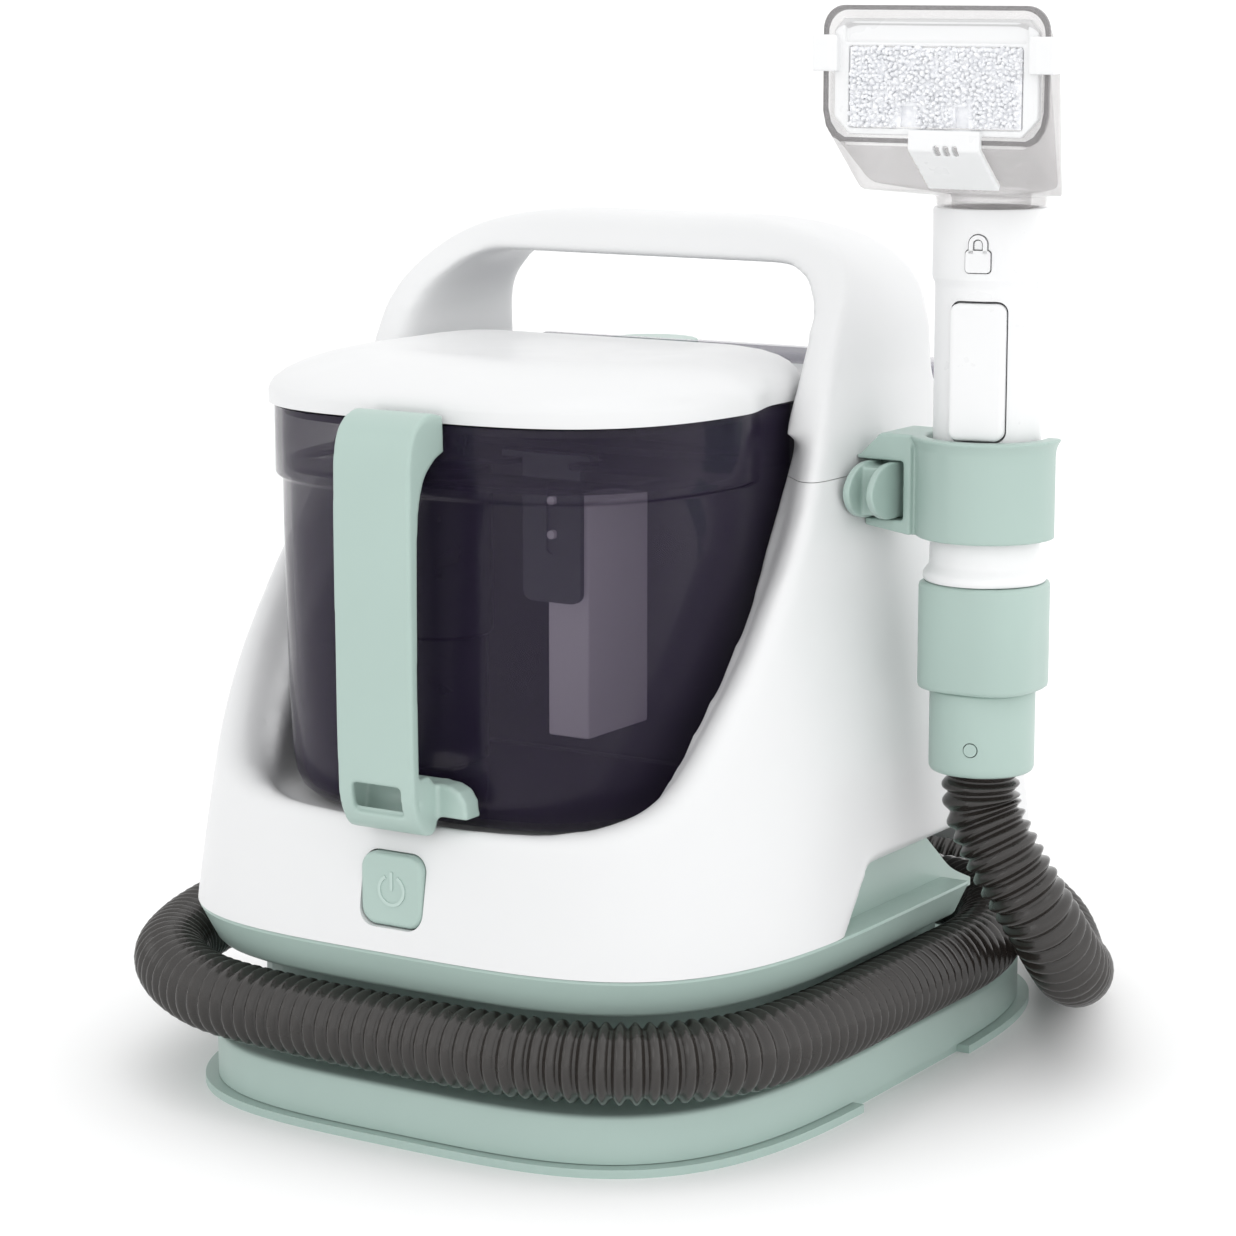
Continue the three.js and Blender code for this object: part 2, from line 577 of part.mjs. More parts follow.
// ---------------------------------------------------------------- tool holder
function addHolder() {
  const at = [wand.x, wand.y];
  const z = [holder.bottom, holder.top];
  const collar = upright(holder.outside, z, at, 32)
    .add(upright(holder.outside + 2, [holder.top - 3, holder.top], at, 32))
    .subtract(upright(holder.inside, [180, 260], at, 32))
    .subtract(block([wand.x - holder.inside, far], [wand.y + 6, far], [180, 260]));
  const lug = frontPrism([[96, 206], [124, 202], [124, 237], [112, 237], [104, 229], [96, 229]], [-19, 6])
    .subtract(upright(holder.inside, [180, 260], at, 32));
  const clearOfBody = hull(-gap, [150, 186, seam, 240, 255]);
  const latchPocket = block([98, 121], [-21, -10], [207, 227.6]);
  add("tool_holder", collar.add(lug).subtract(clearOfBody).subtract(latchPocket), mint());

  const flange = (x) => sidePrism([[-12, 207.6], [-24, 207.6], [-33, 211], [-36, 217.3], [-33, 223.6],
    [-24, 227], [-12, 227]], [x, x + 2.6]);
  const clearWall = hull(-0.8, [150, 186, seam, 240, 255]);
  const lever = flange(106.4).add(flange(115.4)).add(block([108, 116], [-26, -12], [209, 225.6]));
  add("holder_latch", lever.subtract(clearWall), mint());
}

// ---------------------------------------------------------------- hand tool
function turned(profile, sides = 32) {
  const geometry = new THREE.LatheGeometry(profile.map(([r, z]) => new THREE.Vector2(r, z)), sides);
  geometry.rotateX(Math.PI / 2);
  geometry.translate(wand.x, wand.y, 0);
  return solid(geometry);
}

// Turns a shape about the hand tool's own axis.
function swung(shape) {
  return shape.translate([-wand.x, -wand.y, 0]).rotate([0, 0, THREE.MathUtils.radToDeg(wand.turn)])
    .translate([wand.x, wand.y, 0]);
}

function addHandTool() {
  const { x, y, radius } = wand;
  const passage = upright(wand.passage, [100, 330], [x, y + 5], 24);
  const tubeBody = turned([[0, 187], [21.4, 187], [21.4, 190], [19.2, 192], [19.2, 199], [radius, 203],
    [radius, 288], [19.7, 291], [19.7, 315], [0, 315]]);
  const triggerPocket = swung(block([x - 9.9, x + 9.9], [y - 30, y - 10], [236, 285]));
  const lockPocket = swung(block([x - 4.7, x + 4.7], [y - 30, y - 15], [293.5, 308]));
  const valvePocket = swung(block([x - 5.3, x + 5.3], [y - 11, y - 7.5], [243.7, 262.3]));
  const socket = upright(16.4, [305, 320], [x, y], 28);
  add("wand_tube", tubeBody.subtract(valvePocket).subtract(passage).subtract(triggerPocket)
    .subtract(lockPocket).subtract(socket), white());

  const sleeve = loft([149.3, 186.6].map((z) => atHeight(oval(21.2, -20.5, 20.5, 2.8, 32)
    .map(([px, py]) => [px + x, py + y]), z))).subtract(passage);
  add("wand_sleeve", sleeve, mint());
  const cuff = turned([[0, 120], [17.6, 120], [18.4, 121.5], [18.4, 149], [0, 149]]).subtract(passage)
    .subtract(swung(lying(2.6, [y - 20, y - 14], [x, 130], 14)));
  add("hose_cuff", cuff, mint());
  add("cuff_pin", swung(lying(2.3, [y - 18.6, y - 14.5], [x, 130], 14)), mint());

  const triggerShape = swung(block([x - 9.5, x + 9.5], [y - 20, y - 14.5], [238.3, 283.5])
    .add(block([x - 7, x + 7], [y - 19, y - 14.5], [236.6, 284.2])));
  add("trigger", triggerShape, white());
  add("trigger_valve", swung(block([x - 5, x + 5], [y - 9.8, y - 7.8], [244, 262])), dark());
  const lockBody = block([x - 4.3, x + 4.3], [y - 20.4, y - 18.2], [294, 301.5]);
  const shackle = block([x - 3.2, x + 3.2], [y - 20.4, y - 18.2], [301, 307.5])
    .subtract(block([x - 1.5, x + 1.5], [y - 30, y - 10], [301.5, 305.5]));
  add("lock_button", swung(lockBody.add(shackle)), white());
}

// ---------------------------------------------------------------- nozzle
function hood(inset) {
  const { halfWidth, bottom, top } = mouth;
  const w = halfWidth - inset;
  const rim = [[w - 7, bottom + inset], [w, bottom + 8], [w, top - 8], [w - 2.5, top - 2.5 - inset * 0.7],
    [w - 8, top - inset]];
  const corners = [];
  for (const side of [-1, 1]) {
    for (const [px, pz] of rim) {
      corners.push([side * px, mouth.y - (inset > 0 ? 2 : 0), pz]);
    }
    corners.push([side * (40 - inset), -38 - inset, 367 - inset], [side * (40 - inset), -38 - inset, 338],
      [side * (37.5 - inset), -29 + inset, 321 + inset]);
  }
  const neck = circle(0, wand.y, 18 - inset, 16).map(([px, py]) => [px, py, 319 + inset * 0.2]);
  const points = [...corners, ...neck].map(([px, py, pz]) => new THREE.Vector3(wand.x + px, py, pz));
  return solid(new ConvexGeometry(points));
}

function addNozzle() {
  const at = [wand.x, wand.y];
  const spigot = upright(16, [307, 320], at, 28).add(upright(18.8, [315.3, 321], at, 28));
  const bore = upright(13.5, [300, 323], at, 24);
  const shell = hood(0).add(spigot).subtract(hood(2.2)).subtract(bore);
  add("nozzle_hood", shell, clear());

  addBrush();
}

const brush = { halfWidth: 37.4, bottom: 340.4, top: 371, front: -48.6, back: -45.8, tab: [-8, 18] };
const pad = { halfWidth: 31.5, bottom: 343, top: 369, front: -50.5, back: -44.5 };

function addBrush() {
  const b = brush;
  const across = (from, to) => [wand.x + from, wand.x + to];
  const outline = [[6 - b.halfWidth, b.bottom], [b.halfWidth - 6, b.bottom], [b.halfWidth, b.bottom + 6],
    [b.halfWidth, b.top], [-b.halfWidth, b.top], [-b.halfWidth, b.bottom + 6]];
  const plate = frontPrism(outline.map(([x, z]) => [wand.x + x, z]), [b.front, b.back])
    .subtract(block(across(-pad.halfWidth - 0.4, pad.halfWidth + 0.4), [-60, -40],
      [pad.bottom - 0.4, pad.top + 0.4]));
  const tab = sidePrism([[-51.6, 342], [-49.3, 342], [-49.3, 336.6], [-31, 321], [-32.6, 319.2],
    [-51.6, 335.6]], across(...b.tab));
  const foot = block(across(...b.tab), [-51.6, -46], [b.bottom + 0.2, pad.bottom - 0.6]);
  // The rail along the top is bevelled to clear the hood's sloping roof.
  const topRail = sidePrism([[b.front, b.top - 1], [b.back, b.top - 1], [b.back, b.top + 0.8],
    [b.front, b.top + 5]], across(-34, 34));
  const clips = [-1, 1].map((side) => {
    const span = (from, to) => (side < 0 ? across(-to, -from) : across(from, to));
    return block(span(41.9, 44.4), [-51.6, -44], [361, 373])
      .add(block(span(34.6, 44.4), [-51.8, -49.4], [361, 373]))
      .add(block(span(34.6, 37.2), [-50, -46], [361, 370.8]));
  });
  const fittings = [tab, foot, topRail, ...clips];
  add("brush_carrier", fittings.reduce((shape, piece) => shape.add(piece), plate), white());

  const notch = (x) => block(across(x - 2.5, x + 2.5), [-60, -47], [330, 350]);
  const bristles = block(across(-pad.halfWidth, pad.halfWidth), [pad.front, pad.back],
    [pad.bottom, pad.top]);
  add("brush_pad", bristles.subtract(notch(-10)).subtract(notch(10)), bristle());
}

// ---------------------------------------------------------------- suction hose
// From its port in the open corner, once round the groove, across the floor behind the base, and
// up to the hand tool in one loop.
const hoseRoute = [[57.8, 114, 40], [74, 113.5, 40], [92, 104, 41], [107, 85, 41], [116, 64, 40],
  [120.5, 42, 39.6], [121, 5, 39.6], [121, -35, 39.6], [120, -75, 39.6], [112, -115, 39.6],
  [90, -142, 39.6], [55, -155, 39.6], [10, -157.5, 39.6], [-40, -157, 39.8], [-82, -152.5, 41],
  [-112, -134, 43], [-128, -105, 44], [-135, -65, 46], [-138, -10, 47], [-138, 50, 46],
  [-132, 100, 44], [-110, 140, 43], [-70, 159, 42], [-20, 166, 41], [30, 172, 38], [68, 174, 31],
  [98, 159, 22], [119, 131, 16], [133, 101, 22], [147, 73, 29], [160, 47, 37], [168, 22, 47],
  [166.5, 4, 66], [156, -4, 88], [147, -5, 106], [146, -5, 114], [146, -5, 119.7]];

function addHose() {
  add("suction_hose", tube(hoseRoute, hoseRadius, 10, 64), dark());
}

addBase();
addGrooveWall();
addSkirtBand();
addBodyShell();
addCarryHandle();
addTopDeck();
addCornerCover();
addPowerButton();
addDirtyTank();
addStrapHandle();
addLid();
addCleanTank();
addWorks();
addHolder();
addHandTool();
addNozzle();
addHose();

export default machine;
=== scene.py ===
import bpy
import bmesh
import math
import random
from mathutils import Matrix, Vector


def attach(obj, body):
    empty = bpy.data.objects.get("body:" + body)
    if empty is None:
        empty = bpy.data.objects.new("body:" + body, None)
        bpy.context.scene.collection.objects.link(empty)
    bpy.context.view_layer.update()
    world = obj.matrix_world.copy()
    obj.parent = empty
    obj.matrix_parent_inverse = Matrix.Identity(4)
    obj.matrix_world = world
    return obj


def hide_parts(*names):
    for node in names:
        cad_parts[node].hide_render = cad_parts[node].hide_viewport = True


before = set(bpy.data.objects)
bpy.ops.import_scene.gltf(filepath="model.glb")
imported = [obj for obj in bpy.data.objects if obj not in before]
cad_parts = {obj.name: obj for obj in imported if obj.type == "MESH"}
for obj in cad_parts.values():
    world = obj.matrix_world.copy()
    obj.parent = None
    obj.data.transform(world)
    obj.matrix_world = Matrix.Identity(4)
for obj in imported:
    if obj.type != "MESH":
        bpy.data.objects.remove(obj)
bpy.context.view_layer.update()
random.seed(7)

MM = 0.001
FAR = 400

# ------------------------------------------------------------------ main sizes, in millimetres
BODY_BOTTOM = 67.5
SEAM = 222.0
SHOULDER = 255.0
HANDLE_TOP = 307.0
LEG_INSIDE = 83.5
GRIP_UNDERSIDE = 291.5
BODY_MIDDLE = -3.0
LEAN = 0.172
HOSE_RADIUS = 13.75
RIB_DEPTH = 2.3
RIB_PITCH = 5.1
BODY_GRID = 1.7
HAND_TOOL = (146.0, -5.0)
TOOL_TURN = math.radians(14)


# ------------------------------------------------------------------ camera
def set_camera():
    camera = bpy.data.objects.new("camera", bpy.data.cameras.new("camera"))
    bpy.context.scene.collection.objects.link(camera)
    camera.location = (0.6893, -1.1095, 0.3944)
    aim = Vector((-0.0198, 0.0210, 0.1533)) - camera.location
    camera.rotation_euler = aim.to_track_quat("-Z", "Y").to_euler()
    camera.data.lens = 104.67
    camera.data.sensor_width = 36
    bpy.context.scene.camera = camera


# ------------------------------------------------------------------ finishes
def material(name):
    made = bpy.data.materials.new(name)
    made.use_nodes = True
    shader = made.node_tree.nodes["Principled BSDF"]
    return made, made.node_tree, shader


def noise(tree, scale, detail=3.0):
    place = tree.nodes.new("ShaderNodeTexCoord")
    texture = tree.nodes.new("ShaderNodeTexNoise")
    texture.inputs["Scale"].default_value = scale
    texture.inputs["Detail"].default_value = detail
    tree.links.new(place.outputs["Object"], texture.inputs["Vector"])
    return texture.outputs["Fac"]


def spread(tree, source, low, high):
    scale = tree.nodes.new("ShaderNodeMapRange")
    scale.inputs["From Min"].default_value = 0.3
    scale.inputs["From Max"].default_value = 0.7
    scale.inputs["To Min"].default_value = low
    scale.inputs["To Max"].default_value = high
    tree.links.new(source, scale.inputs["Value"])
    return scale.outputs["Result"]


def shade_between(tree, source, dark, light):
    ramp = tree.nodes.new("ShaderNodeValToRGB")
    ramp.color_ramp.elements[0].position = 0.3
    ramp.color_ramp.elements[1].position = 0.7
    ramp.color_ramp.elements[0].color = (*dark, 1)
    ramp.color_ramp.elements[1].color = (*light, 1)
    tree.links.new(source, ramp.inputs["Fac"])
    return ramp.outputs["Color"]


def add_grain(tree, shader, scale, strength, depth=0.0002):
    bump = tree.nodes.new("ShaderNodeBump")
    bump.inputs["Strength"].default_value = strength
    bump.inputs["Distance"].default_value = depth
    tree.links.new(noise(tree, scale, 2.0), bump.inputs["Height"])
    tree.links.new(bump.outputs["Normal"], shader.inputs["Normal"])


def moulded_plastic(name, colour, rough, coat=0.0, grain=0.06, vary=0.03, grain_scale=900):
    made, tree, shader = material(name)
    dark = tuple(c * (1 - vary) for c in colour)
    light = tuple(min(1.0, c * (1 + vary)) for c in colour)
    tree.links.new(shade_between(tree, noise(tree, 14), dark, light), shader.inputs["Base Color"])
    tree.links.new(spread(tree, noise(tree, 60), rough - 0.04, rough + 0.05), shader.inputs["Roughness"])
    shader.inputs["Coat Weight"].default_value = coat
    shader.inputs["Coat Roughness"].default_value = 0.12
    shader.inputs["IOR"].default_value = 1.5
    add_grain(tree, shader, grain_scale, grain)
    return made


def see_through(name, colour, front, edge, rough=0.05, coat=0.5, blend=0.35, shine=0.5):
    """Clear moulding: thin looked at squarely, deeper where it turns away at its edges."""
    made, tree, shader = material(name)
    dark = tuple(c * 0.92 for c in colour)
    tree.links.new(shade_between(tree, noise(tree, 20), dark, colour), shader.inputs["Base Color"])
    tree.links.new(spread(tree, noise(tree, 45), rough * 0.7, rough * 1.4), shader.inputs["Roughness"])
    shader.inputs["IOR"].default_value = 1.5
    shader.inputs["Coat Weight"].default_value = coat
    shader.inputs["Coat Roughness"].default_value = 0.03
    shader.inputs["Specular IOR Level"].default_value = shine
    facing = tree.nodes.new("ShaderNodeLayerWeight")
    facing.inputs["Blend"].default_value = blend
    depth = tree.nodes.new("ShaderNodeMapRange")
    depth.inputs["To Min"].default_value = front
    depth.inputs["To Max"].default_value = edge
    tree.links.new(facing.outputs["Facing"], depth.inputs["Value"])
    tree.links.new(depth.outputs["Result"], shader.inputs["Alpha"])
    return made


def metal(name, colour, rough):
    made, tree, shader = material(name)
    shader.inputs["Metallic"].default_value = 1.0
    dark = tuple(c * 0.85 for c in colour)
    tree.links.new(shade_between(tree, noise(tree, 40), dark, colour), shader.inputs["Base Color"])
    tree.links.new(spread(tree, noise(tree, 120), rough - 0.06, rough + 0.08), shader.inputs["Roughness"])
    add_grain(tree, shader, 1200, 0.08)
    return made


def bristle_finish():
    made, tree, shader = material("white_bristle")
    tree.links.new(shade_between(tree, noise(tree, 500), (0.80, 0.81, 0.84), (0.92, 0.925, 0.94)),
                   shader.inputs["Base Color"])
    shader.inputs["Roughness"].default_value = 0.8
    shader.inputs["Sheen Weight"].default_value = 0.3
    add_grain(tree, shader, 2500, 0.5, 0.0004)
    return made


WHITE = moulded_plastic("white_shell", (0.695, 0.70, 0.705), 0.36, coat=0.05, grain=0.015, vary=0.006)
WHITE_TOOL = moulded_plastic("white_hand_tool", (0.78, 0.785, 0.79), 0.3, coat=0.1, grain=0.015, vary=0.006)
MINT = moulded_plastic("mint_plastic", (0.365, 0.475, 0.435), 0.36, coat=0.08, grain=0.04, vary=0.02)
MINT_BASE = moulded_plastic("mint_base_plastic", (0.385, 0.50, 0.46), 0.42, grain=0.06, vary=0.025)
MINT_SIGN = moulded_plastic("mint_sign", (0.43, 0.54, 0.50), 0.42)
SMOKE = see_through("smoke_tank", (0.026, 0.019, 0.042), 0.34, 0.80, rough=0.05, coat=0.08, shine=0.3)
SMOKE_TRAY = see_through("smoke_tray", (0.035, 0.026, 0.052), 0.45, 0.75, rough=0.08, coat=0.1, shine=0.3)
PALE_TANK = see_through("pale_tank", (0.22, 0.21, 0.28), 0.38, 0.75, rough=0.07)
CLEAR = see_through("clear_nozzle", (0.43, 0.405, 0.405), 0.14, 0.55, rough=0.05, coat=0.5, blend=0.4)
CLEAR_LIP = see_through("clear_lip", (0.17, 0.16, 0.165), 0.55, 0.9, rough=0.06, coat=0.5)
CLEAR_PART = see_through("milky_plastic", (0.60, 0.56, 0.64), 0.92, 0.98, rough=0.25)
DARK = moulded_plastic("dark_plastic", (0.016, 0.015, 0.020), 0.42, grain=0.10, vary=0.1)
INNER_DARK = moulded_plastic("tank_inner_plastic", (0.010, 0.009, 0.018), 0.3, grain=0.06, vary=0.08)
DECK_GREY = moulded_plastic("deck_plastic", (0.56, 0.57, 0.58), 0.40, grain=0.05, vary=0.02)
RUBBER = moulded_plastic("soft_rubber", (0.030, 0.030, 0.032), 0.75, grain=0.3, vary=0.1, grain_scale=600)
HOSE_FINISH = moulded_plastic("hose_plastic", (0.017, 0.014, 0.012), 0.24, coat=0.25, grain=0.03, vary=0.12)
STEEL = metal("screw_steel", (0.55, 0.55, 0.56), 0.32)
FLOAT_LILAC_PAINTED_GLOW = moulded_plastic("float_plastic_painted_glow", (0.62, 0.56, 0.66), 0.4, grain=0.02)
GUIDE_GREY = moulded_plastic("guide_plastic", (0.10, 0.10, 0.13), 0.4, grain=0.04)
BOARD = moulded_plastic("circuit_board", (0.02, 0.13, 0.055), 0.45, grain=0.15, vary=0.12)
BRISTLE = bristle_finish()
# The float plastic also gets a faint lilac emission. This is a painted glow that lightens the float box and
# guide studs inside the dark tank, though they are no lamp.
float_painted_glow_shader = FLOAT_LILAC_PAINTED_GLOW.node_tree.nodes["Principled BSDF"]
float_painted_glow_shader.inputs["Emission Color"].default_value = (0.62, 0.55, 0.68, 1)
float_painted_glow_shader.inputs["Emission Strength"].default_value = 0.22


# ------------------------------------------------------------------ making shapes
def smooth_run(points, count):
    """A smooth line through the points given."""
    points = [Vector(p) for p in points]
    ends = [points[0], *points, points[-1]]
    run = []
    spans = len(points) - 1
    for k in range(count + 1):
        at = min(k / count * spans, spans - 1e-9)
        i = int(at)
        t = at - i
        a, b, c, d = ends[i:i + 4]
        run.append(0.5 * ((2 * b) + (c - a) * t + (2 * a - 5 * b + 4 * c - d) * t * t
                          + (3 * b - a - 3 * c + d) * t ** 3))
    return run


def power(value, exponent):
    return math.copysign(abs(value) ** exponent, value)


def oval(half_width, front, back, exponent, count=200):
    points = []
    for i in range(count):
        angle = 2 * math.pi * (i + 0.5) / count
        points.append((half_width * power(math.cos(angle), 2 / exponent),
                       (front + back) / 2 + (back - front) / 2 * power(math.sin(angle), 2 / exponent)))
    return points


def raised(points, z):
    return [(x, y, z) for x, y in points]


def even_ring(points, count, passes=2):
    """The same closed outline with evenly spaced points and softened corners."""
    corners = [Vector(p) for p in points]
    corners.append(corners[0])
    lengths = [0.0]
    for a, b in zip(corners, corners[1:]):
        lengths.append(lengths[-1] + (b - a).length)
    ring, k = [], 0
    for i in range(count):
        want = lengths[-1] * i / count
        while lengths[k + 1] < want:
            k += 1
        share = (want - lengths[k]) / max(lengths[k + 1] - lengths[k], 1e-9)
        ring.append(corners[k].lerp(corners[k + 1], share))
    for _ in range(passes):
        ring = [(ring[i - 1] + ring[i] * 2 + ring[(i + 1) % count]) / 4 for i in range(count)]
    return [tuple(p) for p in ring]


def lofted(rings):
    """A skin over rings of points, closed at both ends."""
    count, levels = len(rings[0]), len(rings)
    bm = bmesh.new()
    bmesh.ops.create_grid(bm, x_segments=count, y_segments=levels - 1, size=1)
    reach = max(v.co.x for v in bm.verts)
    for v in bm.verts:
        i = round((v.co.x / reach + 1) / 2 * count) % count
        j = round((v.co.y / reach + 1) / 2 * (levels - 1))
        v.co = Vector(rings[j][i]) * MM
    bmesh.ops.remove_doubles(bm, verts=bm.verts, dist=1e-7)
    bmesh.ops.holes_fill(bm, edges=[e for e in bm.edges if e.is_boundary], sides=0)
    bmesh.ops.recalc_face_normals(bm, faces=bm.faces)
    return bm


def placed(axis, a, b, along):
    """A point at a distance along one axis, with a and b across it."""
    return Vector({"x": (along, a, b), "y": (a, along, b), "z": (a, b, along)}[axis]) * MM


def prism(outline, axis, low, high):
    """An outline run along one axis. Along x it is (y, z), along y (x, z), along z (x, y)."""
    bm = bmesh.new()
    made = bmesh.ops.create_circle(bm, cap_ends=True, segments=len(outline), radius=1)
    for v, (a, b) in zip(made["verts"], outline):
        v.co = placed(axis, a, b, low)
    out = bmesh.ops.extrude_face_region(bm, geom=bm.faces[:])
    top = [g for g in out["geom"] if isinstance(g, bmesh.types.BMVert)]
    bmesh.ops.translate(bm, vec=placed(axis, 0, 0, high - low), verts=top)
    bmesh.ops.recalc_face_normals(bm, faces=bm.faces)
    return bm


def block(x, y, z):
    return prism([(x[0], y[0]), (x[1], y[0]), (x[1], y[1]), (x[0], y[1])], "z", *z)


def circle(centre, radius, count=64):
    return [(centre[0] + radius * math.cos(2 * math.pi * i / count),
             centre[1] + radius * math.sin(2 * math.pi * i / count)) for i in range(count)]


def drum(profile, centre=HAND_TOOL, count=96):
    """A round piece about an upright axis, from pairs of radius and height."""
    return lofted([raised(circle(centre, r, count), z) for r, z in profile])


def rounded_rectangle(width, height, radius, centre, steps=6):
    points = []
    for quarter, (sx, sy) in enumerate(((1, 1), (-1, 1), (-1, -1), (1, -1))):
        for i in range(steps + 1):
            angle = (quarter + i / steps) * math.pi / 2
            points.append((centre[0] + sx * (width / 2 - radius) + radius * math.cos(angle),
                           centre[1] + sy * (height / 2 - radius) + radius * math.sin(angle)))
    return points


def rounded_square(side, radius, centre):
    return rounded_rectangle(side, side, radius, centre, steps=8)


def swung(bm):
    """Turned about the hand tool's own axis, so that it faces the way the trigger does."""
    bmesh.ops.rotate(bm, verts=bm.verts, cent=Vector((*HAND_TOOL, 0)) * MM,
                     matrix=Matrix.Rotation(TOOL_TURN, 3, "Z"))
    return bm


def joined(shapes):
    whole = bmesh.new()
    for shape in shapes:
        spare = bpy.data.meshes.new("spare")
        shape.to_mesh(spare)
        whole.from_mesh(spare)
        bpy.data.meshes.remove(spare)
    return whole


def temporary(bm):
    mesh = bpy.data.meshes.new("temporary")
    bm.to_mesh(mesh)
    thing = bpy.data.objects.new("temporary", mesh)
    bpy.context.scene.collection.objects.link(thing)
    return thing


def worked(bm, kind, **settings):
    """The shape after one modifier; a cutter may be a bmesh."""
    thing = temporary(bm)
    helpers = []
    modifier = thing.modifiers.new(kind, kind)
    for key, value in settings.items():
        if isinstance(value, bmesh.types.BMesh):
            value = temporary(value)
            helpers.append(value)
        setattr(modifier, key, value)
    view = bpy.context.evaluated_depsgraph_get()
    result = bmesh.new()
    result.from_mesh(thing.evaluated_get(view).to_mesh())
    for spent in [thing, *helpers]:
        mesh = spent.data
        bpy.data.objects.remove(spent)
        bpy.data.meshes.remove(mesh)
    return result


def cut(bm, *cutters, operation="DIFFERENCE"):
    for cutter in cutters:
        bm = worked(bm, "BOOLEAN", object=cutter, operation=operation, solver="EXACT")
    return bm


def kept_inside(bm, limit):
    return cut(bm, limit, operation="INTERSECT")


def moulded(shapes, cutters=(), grid=0.6, passes=5):
    """Shapes fused into one moulding, with openings cut and every edge softened."""
    bm = shapes[0]
    for other in shapes[1:]:
        bm = cut(bm, other, operation="UNION")
    bm = cut(bm, *cutters)
    bm = worked(bm, "REMESH", mode="VOXEL", voxel_size=grid * MM)
    return softened(bm, passes)


def softened(bm, passes):
    for _ in range(passes):
        bmesh.ops.smooth_vert(bm, verts=bm.verts, factor=0.5, use_axis_x=True, use_axis_y=True,
                              use_axis_z=True)
    return bm


def piece(name, bm, finish, body, nodes=(), sharp=None, edge=None):
    """A finished piece on its body. sharp is the angle above which edges stay crisp."""
    mesh = bpy.data.meshes.new(name)
    bm.to_mesh(mesh)
    bm.free()
    mesh.materials.append(finish)
    mesh.polygons.foreach_set("use_smooth", [True] * len(mesh.polygons))
    if sharp:
        mesh.set_sharp_from_angle(angle=math.radians(sharp))
    made = bpy.data.objects.new(name, mesh)
    bpy.context.scene.collection.objects.link(made)
    if edge:
        rounding = made.modifiers.new("rounding", "BEVEL")
        rounding.width = edge * MM
        rounding.segments = 3
        rounding.limit_method = "ANGLE"
        rounding.angle_limit = math.radians(30)
        rounding.harden_normals = True
    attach(made, body)
    if nodes:
        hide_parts(*nodes)
    return made


# ------------------------------------------------------------------ hose
HOSE_ROUTE = [
    (57.8, 114, 40), (74, 113.5, 40), (92, 104, 41), (107, 85, 41), (116, 64, 40), (120.5, 42, 39.6),
    (121, 5, 39.6), (121, -35, 39.6), (120, -75, 39.6), (112, -115, 39.6), (90, -142, 39.6), (55, -155, 39.6),
    (10, -157.5, 39.6), (-40, -157, 39.8), (-82, -152.5, 41), (-112, -134, 43), (-128, -105, 44),
    (-135, -65, 46),
    (-138, -10, 47), (-138, 50, 46), (-132, 100, 44), (-110, 140, 43), (-70, 159, 42), (-20, 166, 41),
    (30, 172, 38), (68, 174, 31), (98, 159, 22), (119, 131, 16), (133, 101, 22), (147, 73, 29),
    (160, 47, 37), (168, 22, 47), (166.5, 4, 66), (156, -4, 88), (147, -5, 106), (146, -5, 114),
    (146, -5, 119.7)]


def hose_line():
    """The route as a smooth line with a point every third of a millimetre or so."""
    points = [Vector(p) for p in HOSE_ROUTE]
    ends = [2 * points[0] - points[1], *points, 2 * points[-1] - points[-2]]
    line = []
    for i in range(len(points) - 1):
        p0, p1, p2, p3 = ends[i:i + 4]
        gaps = [max((b - a).length ** 0.5, 1e-6) for a, b in ((p0, p1), (p1, p2), (p2, p3))]
        start = ((p1 - p0) / gaps[0] - (p2 - p0) / (gaps[0] + gaps[1]) + (p2 - p1) / gaps[1]) * gaps[1]
        finish = ((p2 - p1) / gaps[1] - (p3 - p1) / (gaps[1] + gaps[2]) + (p3 - p2) / gaps[2]) * gaps[1]
        for k in range(120):
            t = k / 120
            line.append(p1 + start * t + (3 * (p2 - p1) - 2 * start - finish) * t * t
                        + (2 * (p1 - p2) + start + finish) * t ** 3)
    line.append(points[-1])
    return line


def add_hose():
    line = hose_line()
    travelled = [0.0]
    for a, b in zip(line, line[1:]):
        travelled.append(travelled[-1] + (b - a).length)
    length = travelled[-1]
    steps_per_rib = 8
    ribs = round(length / RIB_PITCH)
    count = ribs * steps_per_rib
    centres, k = [], 0
    for i in range(count + 1):
        want = min(length * i / count, length - 1e-6)
        while travelled[k + 1] < want:
            k += 1
        share = (want - travelled[k]) / (travelled[k + 1] - travelled[k])
        centres.append(line[k].lerp(line[k + 1], share))
    sides = 28
    across = Vector((0, 0, 1))
    rings = []
    for i, centre in enumerate(centres):
        ahead = (centres[min(i + 1, count)] - centres[max(i - 1, 0)]).normalized()
        across = (across - ahead * across.dot(ahead)).normalized()
        other = ahead.cross(across)
        phase = (i % steps_per_rib) / steps_per_rib
        swell = (0.5 + 0.5 * math.cos(2 * math.pi * phase)) ** 0.7
        radius = HOSE_RADIUS - RIB_DEPTH * (1 - swell)
        ring = []
        for s in range(sides):
            angle = 2 * math.pi * s / sides
            ring.append(centre + across * radius * math.cos(angle) + other * radius * math.sin(angle))
        rings.append(ring)
    hose = piece("hose", lofted(rings), HOSE_FINISH, "base", ["suction_hose"])


# ------------------------------------------------------------------ white body and handle
def hull_half_width(z):
    if z < SHOULDER:
        rise = max(z - BODY_BOTTOM, 0) / (SHOULDER - BODY_BOTTOM)
        return 122.2 + (98.5 - 122.2) * rise ** 1.25
    rise = min((z - SHOULDER) / (HANDLE_TOP + 0.6 - SHOULDER), 1)
    return 98.5 * (1 - rise ** 3.4) ** (1 / 3.4)


def hull(inset, heights, count=220):
    rings = []
    for z in heights:
        shift = LEAN * (z - BODY_BOTTOM)
        rings.append(raised(oval(hull_half_width(z) - inset, -157.1 + shift + inset,
                                 151.1 - shift - inset, 3.8, count), z))
    return lofted(rings)


